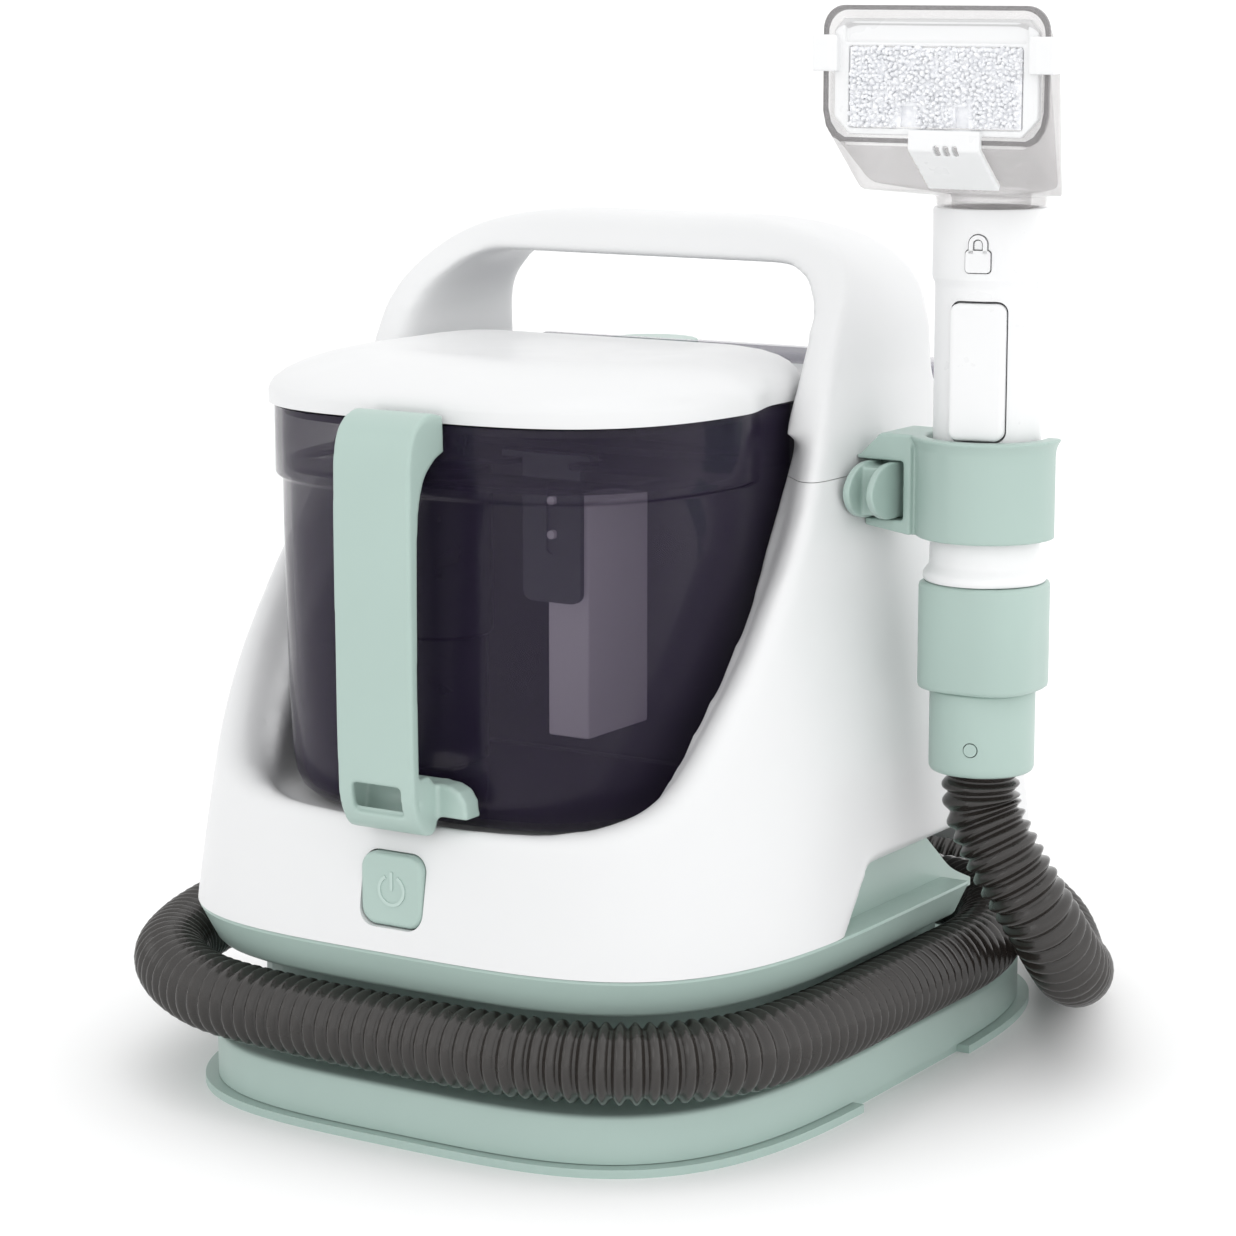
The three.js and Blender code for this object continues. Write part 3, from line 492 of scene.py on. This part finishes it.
FRONT_EDGE = [(-149, 112), (-141, 114), (-132, 119.5), (-122, 128), (-104, 152), (-90, 169), (-77, 186),
              (-60, 206), (-46, 228), (-33, 250), (-25, 266), (-17, 277), (-7, 287), (2, 296),
              (9, HANDLE_TOP + 1)]
REAR_EDGE = [(30, HANDLE_TOP + 1), (42, 302), (48, 285), (50, 262), (53, 240), (63, 212), (79, 182),
             (98, 152), (114, 132), (128, 121), (142, 118)]


def side_view(inset):
    front = [(p.x + inset, p.y - inset) for p in smooth_run(FRONT_EDGE, 90)]
    rear = [(p.x - inset, p.y - inset) for p in smooth_run(REAR_EDGE, 90)]
    outline = [(-170, 40), (170, 40), (170, 118 - inset), *reversed(rear), *reversed(front),
               (-170, 112 - inset)]
    return prism(outline, "x", -FAR / 2, FAR / 2)


def front_well():
    outline = tank_ring(88.0, -145.4, -7.6, LEG_INSIDE, 0, ease=18)
    return prism([(x, y) for x, y, _ in outline], "z", 107.6, FAR)


def rear_well():
    arc = []
    for i in range(61):
        angle = math.pi * i / 60
        arc.append((90.5 * power(math.cos(angle), 0.55), 66 + 65 * power(math.sin(angle), 0.55)))
    outline = [(LEG_INSIDE, 47.6), (LEG_INSIDE, 60), *arc, (-LEG_INSIDE, 60), (-LEG_INSIDE, 47.6)]
    return prism(outline, "z", 112.6, FAR)


def grip_opening():
    side, corner = LEG_INSIDE, 25
    arch = []
    for i in range(25):
        turn = math.pi / 2 * i / 24
        arch.append((side - corner + corner * math.cos(turn),
                     GRIP_UNDERSIDE - corner + corner * math.sin(turn)))
    mirrored = [(-x, z) for x, z in reversed(arch)]
    return prism([(-side, SEAM - 1), (side, SEAM - 1), *arch, *mirrored], "y", -FAR / 2, FAR / 2)


def halves(bm, height, low):
    """Keeps what is under or over a height and closes the cut."""
    plane = Vector((0, 0, height * MM))
    bmesh.ops.bisect_plane(bm, geom=[*bm.verts, *bm.edges, *bm.faces], dist=1e-7, plane_co=plane,
                           plane_no=(0, 0, 1), clear_outer=low, clear_inner=not low)
    bmesh.ops.holes_fill(bm, edges=[e for e in bm.edges if e.is_boundary], sides=0)
    return bm


def add_white_body():
    heights = [56, BODY_BOTTOM, *range(74, 255, 6), 255, *range(259, 283, 4), *range(284, 300, 2),
               *[300 + 0.8 * i for i in range(8)], 306.4, 306.9]
    whole = kept_inside(hull(0, heights), side_view(0))
    notch = prism([(-62, 56), (-37, 87), (76, 87), (98, 56)], "x", 70, FAR)
    legs = [z for z in heights if z < 240]
    for inset, drop in ((5, 1.5), (9, 4), (13, 7)):
        whole = cut(whole, cut(hull(inset, legs), side_view(drop)))
    whole = cut(whole, front_well(), rear_well(), grip_opening(), notch)
    whole = worked(whole, "REMESH", mode="VOXEL", voxel_size=BODY_GRID * MM)
    whole = softened(whole, 24)
    handle = halves(whole.copy(), SEAM + 0.25, low=False)
    body = halves(halves(whole, SEAM, low=True), BODY_BOTTOM, low=False)
    hole = prism(rounded_square(26.0, 6.2, (0, 88.7)), "y", -170, -135)
    body = cut(body, hole)
    piece("body_shell_skin", body, WHITE, "base", ["body_shell"], sharp=50)
    piece("carry_handle_skin", handle, WHITE, "base", ["carry_handle"], sharp=50)


def add_deck():
    x = LEG_INSIDE - 0.4
    piece("deck_between_tanks", block([-x, x], [-7.4, 47.4], [SEAM + 0.5, 250.9]), DECK_GREY, "base",
          ["top_deck"], edge=1.2)


# ------------------------------------------------------------------ mint base
def add_base():
    lip = oval(120.4, -158.5, 158.5, 3.7)
    floor = prism(lip, "z", 0, 3)
    floor = cut(floor, block([115, 200], [-40, 42], [-5, 10]))
    piece("base_plate", floor, MINT_BASE, "base", ["bottom_cover"], sharp=40, edge=0.7)
    rim = [oval(116.4 - drop, -154.5 + drop, 154.5 - drop, 3.7) for drop in (0, 0, 0.1, 0.5, 1.3, 2.4)]
    inner = oval(112, -150, 150, 3.7)
    rings = [raised(inner, 17.4), raised(inner, 3.3)]
    rings += [raised(ring, z) for ring, z in zip(rim, (3.3, 17.4, 18.6, 19.5, 19.9, 20))]
    piece("base_plinth_skin", lofted(rings), MINT_BASE, "base", ["base_plinth"], sharp=50)


OPEN_CORNER = [(46, 170), (46, 94), (82, 80), (95, 62), (101, 36), (140, 36), (140, 170)]


def add_band():
    rings = []
    for z, soft in ((53.4, 1.2), (53.9, 0.4), (55, 0), (61, 0), (66.2, 0), (67.2, 0.6)):
        share = (z - 53.4) / 13.8
        width = 115.5 + 6.6 * share - soft
        depth = 148.2 + 5.8 * share - soft
        rings.append(raised(oval(width, BODY_MIDDLE - depth, BODY_MIDDLE + depth, 3.8), z))
    ring = cut(lofted(rings), prism(oval(99, -133, 127, 3.8, 120), "z", 0, 100),
               prism(OPEN_CORNER, "z", 0, 100))
    rise = [(p.x, p.y) for p in smooth_run([(22, 86), (32, 78), (44, 69), (60, 62)], 14)]
    fin = prism([(-56, 60), (-37, 86), *rise, (60, 59), (-30, 59)], "x", 106, 110.4)
    piece("skirt_band_skin", cut(ring, fin, operation="UNION"), MINT, "base", ["skirt_band"],
          sharp=40, edge=0.6)


# ------------------------------------------------------------------ power button
def add_button():
    face = [(-150.5, 0.0), (-153.4, 0.0), (-154.1, 0.35), (-154.45, 1.0), (-154.5, 2.0)]
    rings = [[(x, -141, z) for x, z in rounded_square(25.2, 6, (0, 88.7))]]
    for y, inset in face:
        rings.append([(x, y, z) for x, z in rounded_square(25.2 - 2 * inset, 6 - inset, (0, 88.7))])
    rings.append([(x, -154.2, z) for x, z in rounded_square(18, 3.4, (0, 88.7))])
    button = lofted(rings)
    outer, inner, steps = 5.6, 4.5, 40
    arc = [math.radians(118) + math.radians(304) * i / steps for i in range(steps + 1)]
    outline = [(outer * math.cos(a), 88.7 + outer * math.sin(a)) for a in arc]
    outline += [(inner * math.cos(a), 88.7 + inner * math.sin(a)) for a in reversed(arc)]
    sign = joined([prism(outline, "y", -154.55, -153.5), block([-0.55, 0.55], [-154.55, -153.5], [88.7, 95])])
    piece("power_button_cap", button, MINT, "power_button", ["power_button"], sharp=50)
    sign_piece = piece("power_sign", sign, MINT_SIGN, "power_button", sharp=40)


# ------------------------------------------------------------------ dirty water tank
def tank_ring(half_width, front, rear, rear_half, z, count=180, inset=0.0, ease=6):
    half_width, rear_half = half_width - inset, rear_half - inset
    front, rear = front + inset, rear - inset
    middle, exponent, turn_back = -29, 3.4, -66
    reach = middle - front
    start = math.asin(min(1, (middle - turn_back) / reach) ** (exponent / 2))
    points = []
    for i in range(61):
        angle = math.pi + start + (math.pi - 2 * start) * i / 60
        points.append((half_width * power(math.cos(angle), 2 / exponent),
                       middle + reach * power(math.sin(angle), 2 / exponent)))
    corner = [(rear_half, turn_back + ease), (rear_half, rear - 13), (rear_half - 1.8, rear - 6),
              (rear_half - 6, rear - 1.8), (rear_half - 13, rear)]
    points += corner + [(-x, y) for x, y in reversed(corner)]
    return raised(even_ring(points, count, 3), z)


# Height, half-width and front of the tank at each level; the rim is a step wider.
TANK_LEVELS = [(108, 68, -128), (108.5, 71.5, -131.5), (110, 75.5, -135.6), (113, 78.4, -138.8),
               (118, 80.2, -140.8), (126, 81.3, -141.6), (150, 82.4, -142), (168, 82.9, -142.2),
               (185, 83.2, -142.3), (205, 83.6, -142.5), (220.6, 83.8, -142.5),
               (221.4, 84.3, -143), (222.1, 85.6, -144), (223, 86.2, -144.4),
               (235, 86.2, -144.4), (246.3, 86.2, -144.4)]


def add_dirty_tank():
    outside = [tank_ring(w, f, -10.6, 81.5, z, ease=18) for z, w, f in TANK_LEVELS]
    inside = [tank_ring(w, f, -10.6, 81.5, z + (2.4 if z < 112 else 0), inset=2.4, ease=18)
              for z, w, f in reversed(TANK_LEVELS)]
    drain = prism(circle((-45, -60), 10.5), "z", 100, 115)
    piece("dirty_tank_wall", cut(lofted(outside + inside), drain), SMOKE, "dirty_tank", ["dirty_tank"],
          sharp=45)
    pipe = drum([(9.9, 109.2), (9.9, 112), (17.5, 113), (17.5, 158), (19.3, 159.5), (19.3, 220), (10, 222),
                 (10, 235.8)], (-45, -60))
    bore = prism(circle((-45, -60), 8), "z", 100, 240)
    piece("inlet_pipe_skin", cut(pipe, bore), INNER_DARK, "dirty_tank", ["tank_inlet_pipe"], sharp=40)
    plate = prism(rounded_rectangle(24, 53, 4, (11, 202.5)), "y", -71.8, -69.4)
    slot = prism(rounded_rectangle(4.4, 26, 2.2, (11, 206)), "y", -80, -70.4)
    shelf = block([-7, 29], [-75.5, -69.4], [227, 229])
    guide = cut(cut(plate, slot), shelf, operation="UNION")
    piece("float_guide_plate", guide, GUIDE_GREY, "dirty_tank", ["float_guide"], sharp=40)
    studs = joined([prism(circle((11, z), 1.5, 20), "y", -72.4, -70.3) for z in (200, 212)])
    stud_piece = piece("guide_studs", studs, FLOAT_LILAC_PAINTED_GLOW, "dirty_tank", sharp=40)
    box = cut(block([3, 20], [-62, -22], [126, 210]), block([5.2, 17.8], [-59.8, -24.2], [120, 207.8]))
    piece("float_box", box, FLOAT_LILAC_PAINTED_GLOW, "float", ["float"], sharp=40, edge=0.9)


def add_strap():
    """The strap ends in an open channel, and a foot runs from the channel back to the tank."""
    left, right = -12.9, 17.9
    outer = [(p.x, p.y) for p in smooth_run([(-147, 250), (-155, 251.3), (-163, 247), (-166.5, 238),
                                             (-167.3, 222), (-167.2, 170), (-166.5, 129.5)], 60)]
    inner = [(p.x, p.y) for p in smooth_run([(-162.2, 129.5), (-162.4, 170), (-161.7, 212), (-158.7, 228),
                                             (-152.6, 235), (-146.3, 238)], 50)]
    grip = prism(outer + inner, "x", left, right)
    profile = smooth_run([(-166.4, 131), (-165.6, 121), (-161.5, 112.6), (-156, 110.2), (-152.6, 112),
                          (-151.2, 117), (-149.6, 122), (-144.6, 124.6)], 40)
    top = smooth_run([(-144.6, 127.8), (-150.6, 126.4), (-153.4, 122), (-154.4, 116.6), (-156.6, 113.8),
                      (-160.4, 115.6), (-163, 122), (-163.2, 131)], 40)
    foot = prism([(p.x, p.y) for p in [*profile, *top]], "x", left, right)
    window = block([left + 5.5, right - 5.5], [-170, -162.4], [117.5, 127.5])
    cheek = [(-163.4, 130.5), (-160.6, 116), (-156.6, 113.6), (-150, 124), (-156, 130.5)]
    cheeks = [prism(cheek, "x", left, left + 2.6), prism(cheek, "x", right - 2.6, right)]
    lug = prism([(15, 127.4), (22, 127.2), (26.4, 125.4), (29, 121.6), (29.6, 116), (15, 116)], "y",
                -152.5, -144)
    piece("tank_strap", moulded([grip, foot, *cheeks, lug], [window], grid=0.7, passes=4), MINT,
          "dirty_tank", ["strap_handle"])


def lid_ring(z, width, front, rear, rear_half):
    return tank_ring(width, front, rear, rear_half, z, ease=22)


# Height, half-width, front, rear and half-width of the rear at each level of the lid.
LID_LEVELS = [(247, 89.3, -144.4, -9.1, 82.3), (251.2, 89.3, -144.4, -9.1, 82.3),
              (252.8, 88.9, -143.9, -9.2, 82), (254.8, 87.9, -142.4, -9.4, 81.2),
              (257.2, 85.4, -138.4, -9.8, 79.6), (259.4, 81.8, -132.6, -10.3, 77),
              (261.2, 77, -125, -11, 73.4), (262.7, 70.5, -115, -12.2, 68), (263.7, 63, -104.5, -14.4, 61),
              (263.9, 56, -97, -17, 54), (263.4, 50, -91, -20, 48), (262.7, 44, -86, -24, 42)]


def add_lid():
    rings = [lid_ring(*level) for level in LID_LEVELS]
    inner = [tank_ring(w, f, r, h, z - 2.4, inset=2.2, ease=22) for z, w, f, r, h in reversed(LID_LEVELS)]
    inner[-1] = [(x, y, 247) for x, y, _ in inner[-1]]
    piece("lid_dome", lofted(rings[::-1] + inner[::-1]), WHITE, "tank_lid", ["tank_lid"], sharp=60)


# ------------------------------------------------------------------ clean water tank
def clean_ring(inset, z, count=140):
    share = max(0.0, (z - 113) / 138.5)
    back = 129 + (104 - 129) * share ** 0.8
    points = []
    for i in range(41):
        angle = math.pi * i / 40
        points.append(((88 - inset) * power(math.cos(angle), 0.55),
                       68 + (back - inset - 68) * power(math.sin(angle), 0.55)))
    points += [(inset - 82, 62), (inset - 82, 52 + inset), (inset - 80.4, 50.4 + inset),
               (80.4 - inset, 50.4 + inset), (82 - inset, 52 + inset), (82 - inset, 62)]
    return raised(even_ring(points, count, 2), z)


def add_clean_tank():
    levels = [(5, 113.1), (1.5, 113.8), (0.3, 116), (0, 120), *[(0, z) for z in range(130, 244, 12)],
              (0.2, 246.4), (1, 249), (2.6, 250.8), (5, 251.4)]
    outside = [clean_ring(inset + 0.1, z) for inset, z in levels]
    hollow = [(2.4, 115.6), (2.4, 120), *[(2.4, z) for z in range(132, 240, 12)], (3, 244), (5, 248)]
    ridge = prism(rounded_rectangle(148, 18, 3, (0, 247.4)), "y", 50.6, 54)
    inside = lofted([clean_ring(inset, z, 100) for inset, z in hollow])
    shell = cut(cut(lofted(outside), ridge, operation="UNION"), inside,
                prism(circle((-40, 78), 14), "z", 240, 260), prism(circle((0, 90), 5), "z", 110, 118))
    piece("clean_tank_wall", shell, PALE_TANK, "clean_tank", ["clean_tank"], sharp=45)
    ridges = [18 - (0.5 if i % 4 < 2 else 0) for i in range(96)]
    lower = [(-40 + r * math.cos(2 * math.pi * i / 96), 78 + r * math.sin(2 * math.pi * i / 96))
             for i, r in enumerate(ridges)]
    top = [raised([(-40 + (x + 40) * s, 78 + (y - 78) * s) for x, y in lower], z)
           for s, z in ((1, 251.9), (1, 252.6), (0.97, 253.1), (0.9, 253.3))]
    plug = drum([(13.5, 243.6), (13.5, 252)], (-40, 78), 48)
    piece("filler_cap_skin", joined([lofted(top), plug]), MINT, "filler_cap", ["filler_cap"], sharp=45)


# ------------------------------------------------------------------ tool holder
def add_holder():
    x, y = HAND_TOOL
    collar = drum([(24.2, 202), (24.2, 230), (24.4, 233), (25.2, 235), (26.1, 236.2), (26.1, 237)], count=128)
    lug = prism([(96, 206), (124, 202), (124, 237), (112, 237), (104, 229), (96, 229)], "y", -19, 6)
    cuts = [prism(circle(HAND_TOOL, 20.6, 128), "z", 180, 260),
            block([x - 20.6, FAR], [y + 6, FAR], [180, 260]),
            hull(-0.3, [150, 186, 210, 222, 240, 255]), block([98, 121], [-21, -10], [207, 227.6])]
    piece("ring_clip", moulded([collar, lug], cuts, grid=0.55, passes=3), MINT, "base", ["tool_holder"])
    side = [(p.x, p.y) for p in smooth_run([(-12, 207.6), (-24, 207.8), (-32, 211), (-35.8, 217.3),
                                            (-32, 223.6), (-24, 226.8), (-12, 227)], 40)]
    parts = [prism(side, "x", 106.4, 109), prism(side, "x", 115.4, 118),
             block([108, 116], [-26, -12], [209, 225.6])]
    lever = moulded(parts, [hull(-0.8, [150, 186, 210, 222, 240])], grid=0.45, passes=3)
    piece("clip_lever", lever, MINT, "holder_latch", ["holder_latch"])


# ------------------------------------------------------------------ hand tool
def add_hand_tool():
    x, y = HAND_TOOL
    tube = drum([(20.9, 187), (21.3, 187.6), (21.3, 189.4), (20.6, 190.6), (19.4, 192), (19.15, 194),
                 (19.1, 199), (18.7, 202), (18.6, 204), (18.6, 288), (18.8, 289.6), (19.4, 290.8),
                 (19.65, 292), (19.65, 314.2), (19.2, 315)])
    hose_passage = prism(circle((x, y + 5), 11, 48), "z", 100, 330)
    around_trigger = prism(rounded_rectangle(19.8, 48, 3.8, (x, 260.4)), "y", y - 30, y - 10)
    around_lock = prism(rounded_rectangle(9.2, 8.2, 1.5, (x, 297.8)), "y", y - 30, y - 17.2)
    around_shackle = prism(padlock_loop(3.5, 1.3), "y", y - 30, y - 17.2)
    pockets = [swung(around_trigger), swung(around_lock), swung(around_shackle),
               hose_passage, prism(circle(HAND_TOOL, 16.4), "z", 305, 330)]
    piece("wand", cut(tube, *pockets), WHITE_TOOL, "hand_tool", ["wand_tube"], sharp=35)

    sleeve = []
    for z, inset in ((149.3, 1.0), (149.8, 0.3), (151, 0), (168, 0), (185, 0), (186.1, 0.3), (186.6, 1.0)):
        ring = oval(21.2 - inset, -20.4 + inset, 20.4 - inset, 2.8, 120)
        sleeve.append([(px + x, py + y, z) for px, py in ring])
    piece("sleeve", cut(lofted(sleeve), hose_passage), MINT, "hand_tool", ["wand_sleeve"], sharp=50)
    cuff = drum([(17.2, 120), (17.8, 120.4), (18.3, 121.5), (18.35, 123), (18.35, 148), (18.1, 148.7),
                 (17.4, 149)])
    hole = swung(prism(circle((x, 130), 2.6, 32), "y", y - 22, y - 14))
    piece("cuff", cut(cuff, hose_passage, hole), MINT, "hand_tool", ["hose_cuff"], sharp=50)

    plate = []
    for out, inset in ((-14.5, 0), (-19.0, 0), (-19.6, 0.25), (-19.9, 0.8), (-20.0, 1.8)):
        outline = rounded_rectangle(18.8 - 2 * inset, 46.4 - 2 * inset, 3.2 - inset * 0.8, (x, 260.4))
        plate.append([(px, y + out, pz) for px, pz in outline])
    trigger = swung(lofted(plate))
    piece("trigger_plate", trigger, WHITE_TOOL, "trigger", ["trigger"], sharp=50)

    lock = joined([prism(padlock_loop(3.1, 1.7), "y", y - 20.3, y - 18.3),
                   prism(rounded_rectangle(8.4, 7.4, 1.2, (x, 297.8)), "y", y - 20.3, y - 18.3)])
    piece("lock_button_cap", swung(lock), WHITE_TOOL, "lock_button", ["lock_button"], sharp=40)


def padlock_loop(outer, inner):
    """The padlock's loop, seen from the front."""
    x = HAND_TOOL[0]
    arch = [math.pi * i / 24 for i in range(25)]
    over = [(x + outer * math.cos(a), 303.6 + outer * math.sin(a)) for a in arch]
    under = [(x + inner * math.cos(a), 303.6 + inner * math.sin(a)) for a in reversed(arch)]
    return [(x + outer, 300.5), *over, (x - outer, 300.5), (x - inner, 300.5), *under, (x + inner, 300.5)]


# ------------------------------------------------------------------ nozzle
def hood(inset, deep=0.0):
    x, y = HAND_TOOL
    w = 41.4 - inset
    rim = [(w - 7, 337.6 + inset), (w - 1.6, 342), (w, 348)]
    for i in range(7):
        angle = math.pi / 2 * i / 6
        rim.append((w - 8 + 8 * math.cos(angle), 374.9 - inset + 8 * math.sin(angle)))
    corners = []
    for side in (-1, 1):
        corners += [(side * px, -49 - deep, pz) for px, pz in rim]
        corners += [(side * (40 - inset), -38 - inset, 367 - inset), (side * (40 - inset), -38 - inset, 338),
                    (side * (37.5 - inset), -29 + inset, 321 + inset)]
    corners += [(px, y + py, 319 + inset * 0.2) for px, py in circle((0, 0), 18 - inset, 64)]
    bm = bmesh.new()
    for px, py, pz in corners:
        bm.verts.new(Vector((x + px, py, pz)) * MM)
    out = bmesh.ops.convex_hull(bm, input=bm.verts)
    spare = [g for g in out["geom_interior"] + out["geom_unused"] if isinstance(g, bmesh.types.BMVert)]
    bmesh.ops.delete(bm, geom=list(set(spare)), context="VERTS")
    bmesh.ops.recalc_face_normals(bm, faces=bm.faces)
    return bm


def add_nozzle():
    x, y = HAND_TOOL
    neck = drum([(16, 307), (16, 315.3), (18.7, 315.3), (18.7, 321)])
    shell = moulded([hood(0), neck], [hood(2.3, deep=3), prism(circle(HAND_TOOL, 13.5), "z", 300, 323)],
                    grid=0.75, passes=2)
    piece("nozzle_skin", shell, CLEAR, "nozzle", ["nozzle_hood"])

    rim = [(34.6, 337.8), (37.6, 339.4), (40.1, 343), (41.2, 348)]
    for i in range(9):
        angle = math.pi / 2 * i / 8
        rim.append((33.2 + 8 * math.cos(angle), 374.7 + 8 * math.sin(angle)))
    outer = [(x - px, pz) for px, pz in rim] + [(x + px, pz) for px, pz in reversed(rim)]
    inner = [(x + (px - x) * 0.965, 360.3 + (pz - 360.3) * 0.93) for px, pz in outer]
    lip = cut(prism(outer, "y", -49.0, -47.9), prism(inner, "y", -60, -40))
    lip_piece = piece("nozzle_lip", lip, CLEAR_LIP, "nozzle", sharp=40)


def add_brush():
    x = HAND_TOOL[0]
    frame_outline = [(-31.4, 340.4), (31.4, 340.4), (37.4, 346.4), (37.4, 374.5), (34, 378.4), (-34, 378.4),
                     (-37.4, 374.5), (-37.4, 346.4)]
    plate = prism([(x + a, b) for a, b in frame_outline], "y", -48.6, -45.8)
    tab = prism([(-51.5, 342), (-49.3, 342), (-49.3, 336.6), (-34.6, 324), (-36, 322.3), (-51.5, 335.6)], "x",
                x - 8, x + 18)
    foot = block([x - 8, x + 18], [-51.5, -46], [340.6, 342.4])
    parts = [plate, tab, foot]
    for side in (-1, 1):
        def span(a, b):
            return sorted((x + side * a, x + side * b))
        parts += [block(span(41.9, 44.2), [-51.6, -44], [361, 373]),
                  block(span(37.6, 44.2), [-51.8, -49.4], [361, 373]),
                  block(span(34.9, 37.6), [-51.4, -46], [361, 372.6]),
                  block(span(35.5, 39), [-51.6, -49.4], [361, 373])]
    window = block([x - 31.9, x + 31.9], [-60, -40], [342.6, 369.4])
    slots = [block([x + a, x + a + 2.2], [-60, -40], [334, 337.4]) for a in (1, 4.4, 7.8)]
    recess = block([x - 33.4, x + 33.4], [-60, -47.2], [370.6, 376.8])
    carrier = moulded(parts, [window, recess, *slots], grid=0.5, passes=2)
    piece("brush_carrier_skin", carrier, WHITE_TOOL, "brush", ["brush_carrier"])

    tufts = []
    for row in range(18):
        for column in range(44):
            px = x - 30.5 + column * 1.418 + random.uniform(-0.5, 0.5)
            pz = 344.1 + row * 1.43 + random.uniform(-0.5, 0.5)
            if row < 5 and min(abs(px - x + 10), abs(px - x - 10)) < 3.3:
                continue
            tip = -49.5 - random.uniform(0.0, 0.9)
            lean_x, lean_z = random.uniform(-0.7, 0.7), random.uniform(-0.7, 0.7)
            rings = [[(px + lean_x * bend + r * math.cos(a), py, pz + lean_z * bend + r * math.sin(a))
                      for a in (2 * math.pi * k / 5 for k in range(5))]
                     for r, py, bend in ((0.9, -47.4, 0), (0.85, tip + 0.8, 0.6), (0.3, tip, 1))]
            tufts.append(lofted(rings))
    notches = [block([x + a - 2.5, x + a + 2.5], [-60, -47], [330, 350]) for a in (-10, 10)]
    bed = cut(block([x - 31.4, x + 31.4], [-48.4, -44.6], [343.1, 368.9]), *notches)
    piece("brush_pad_skin", joined([bed, *tufts]), BRISTLE, "brush", ["brush_pad"], sharp=50)


# ------------------------------------------------------------------ pieces that keep their own shape
def finish_the_rest():
    finishes = {
        MINT: ["corner_cover", "cuff_pin"], MINT_BASE: ["hose_groove_wall"], STEEL: ["motor_shaft"],
        DARK: ["power_switch", "fan_casing", "fan_impeller", "water_pump", "board_relay", "suction_duct",
               "air_duct", "hose_port", "cord_gland", "trigger_valve", "clean_tank_valve", "vacuum_motor"],
        CLEAR_PART: ["clean_water_line"], SMOKE_TRAY: ["splash_tray"], BOARD: ["control_board"],
        RUBBER: ["tank_gasket", "lid_seal"]}
    for finish, names in finishes.items():
        for name in names:
            dress(name, finish)
    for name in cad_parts:
        if name.startswith("foot_"):
            dress(name, RUBBER)
        if name.startswith("base_screw"):
            dress(name, STEEL)


def dress(name, finish):
    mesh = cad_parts[name].data
    mesh.materials.clear()
    mesh.materials.append(finish)


# ------------------------------------------------------------------ floor and light
def set_stage():
    bm = bmesh.new()
    bmesh.ops.create_grid(bm, x_segments=1, y_segments=1, size=40)
    mesh = bpy.data.meshes.new("floor")
    bm.to_mesh(mesh)
    bm.free()
    made, tree, shader = material("pale_floor")
    shader.inputs["Base Color"].default_value = (0.93, 0.93, 0.93, 1)
    shader.inputs["Roughness"].default_value = 0.85
    mesh.materials.append(made)
    floor = bpy.data.objects.new("floor", mesh)
    bpy.context.scene.collection.objects.link(floor)
    world = bpy.data.worlds.new("studio")
    bpy.context.scene.world = world
    world.use_nodes = True
    tree = world.node_tree
    tree.nodes["Background"].inputs["Color"].default_value = (1, 1, 1, 1)
    side = tree.nodes.new("ShaderNodeSeparateXYZ")
    tree.links.new(tree.nodes.new("ShaderNodeTexCoord").outputs["Generated"], side.inputs["Vector"])
    level = tree.nodes.new("ShaderNodeMapRange")
    level.inputs["From Min"].default_value = -1
    level.inputs["From Max"].default_value = 1
    level.inputs["To Min"].default_value = 1.0
    level.inputs["To Max"].default_value = 1.55
    tree.links.new(side.outputs["X"], level.inputs["Value"])
    tree.links.new(level.outputs["Result"], tree.nodes["Background"].inputs["Strength"])
    for name, where, size, energy in (("front_softbox", (-0.7, -1.7, 1.1), 0.8, 1.5),
                                      ("top_softbox", (0.1, -0.2, 1.9), 0.7, 1)):
        light = bpy.data.objects.new(name, bpy.data.lights.new(name, "AREA"))
        light.data.size = size
        light.data.energy = energy
        light.location = where
        light.rotation_euler = (Vector((0, 0, 0.15)) - light.location).to_track_quat("-Z", "Y").to_euler()
        bpy.context.scene.collection.objects.link(light)
    bpy.context.scene.view_settings.view_transform = "Standard"


set_camera()
add_hose()
add_white_body()
add_deck()
add_base()
add_band()
add_button()
add_dirty_tank()
add_strap()
add_lid()
add_clean_tank()
add_holder()
add_hand_tool()
add_nozzle()
add_brush()
finish_the_rest()
set_stage()
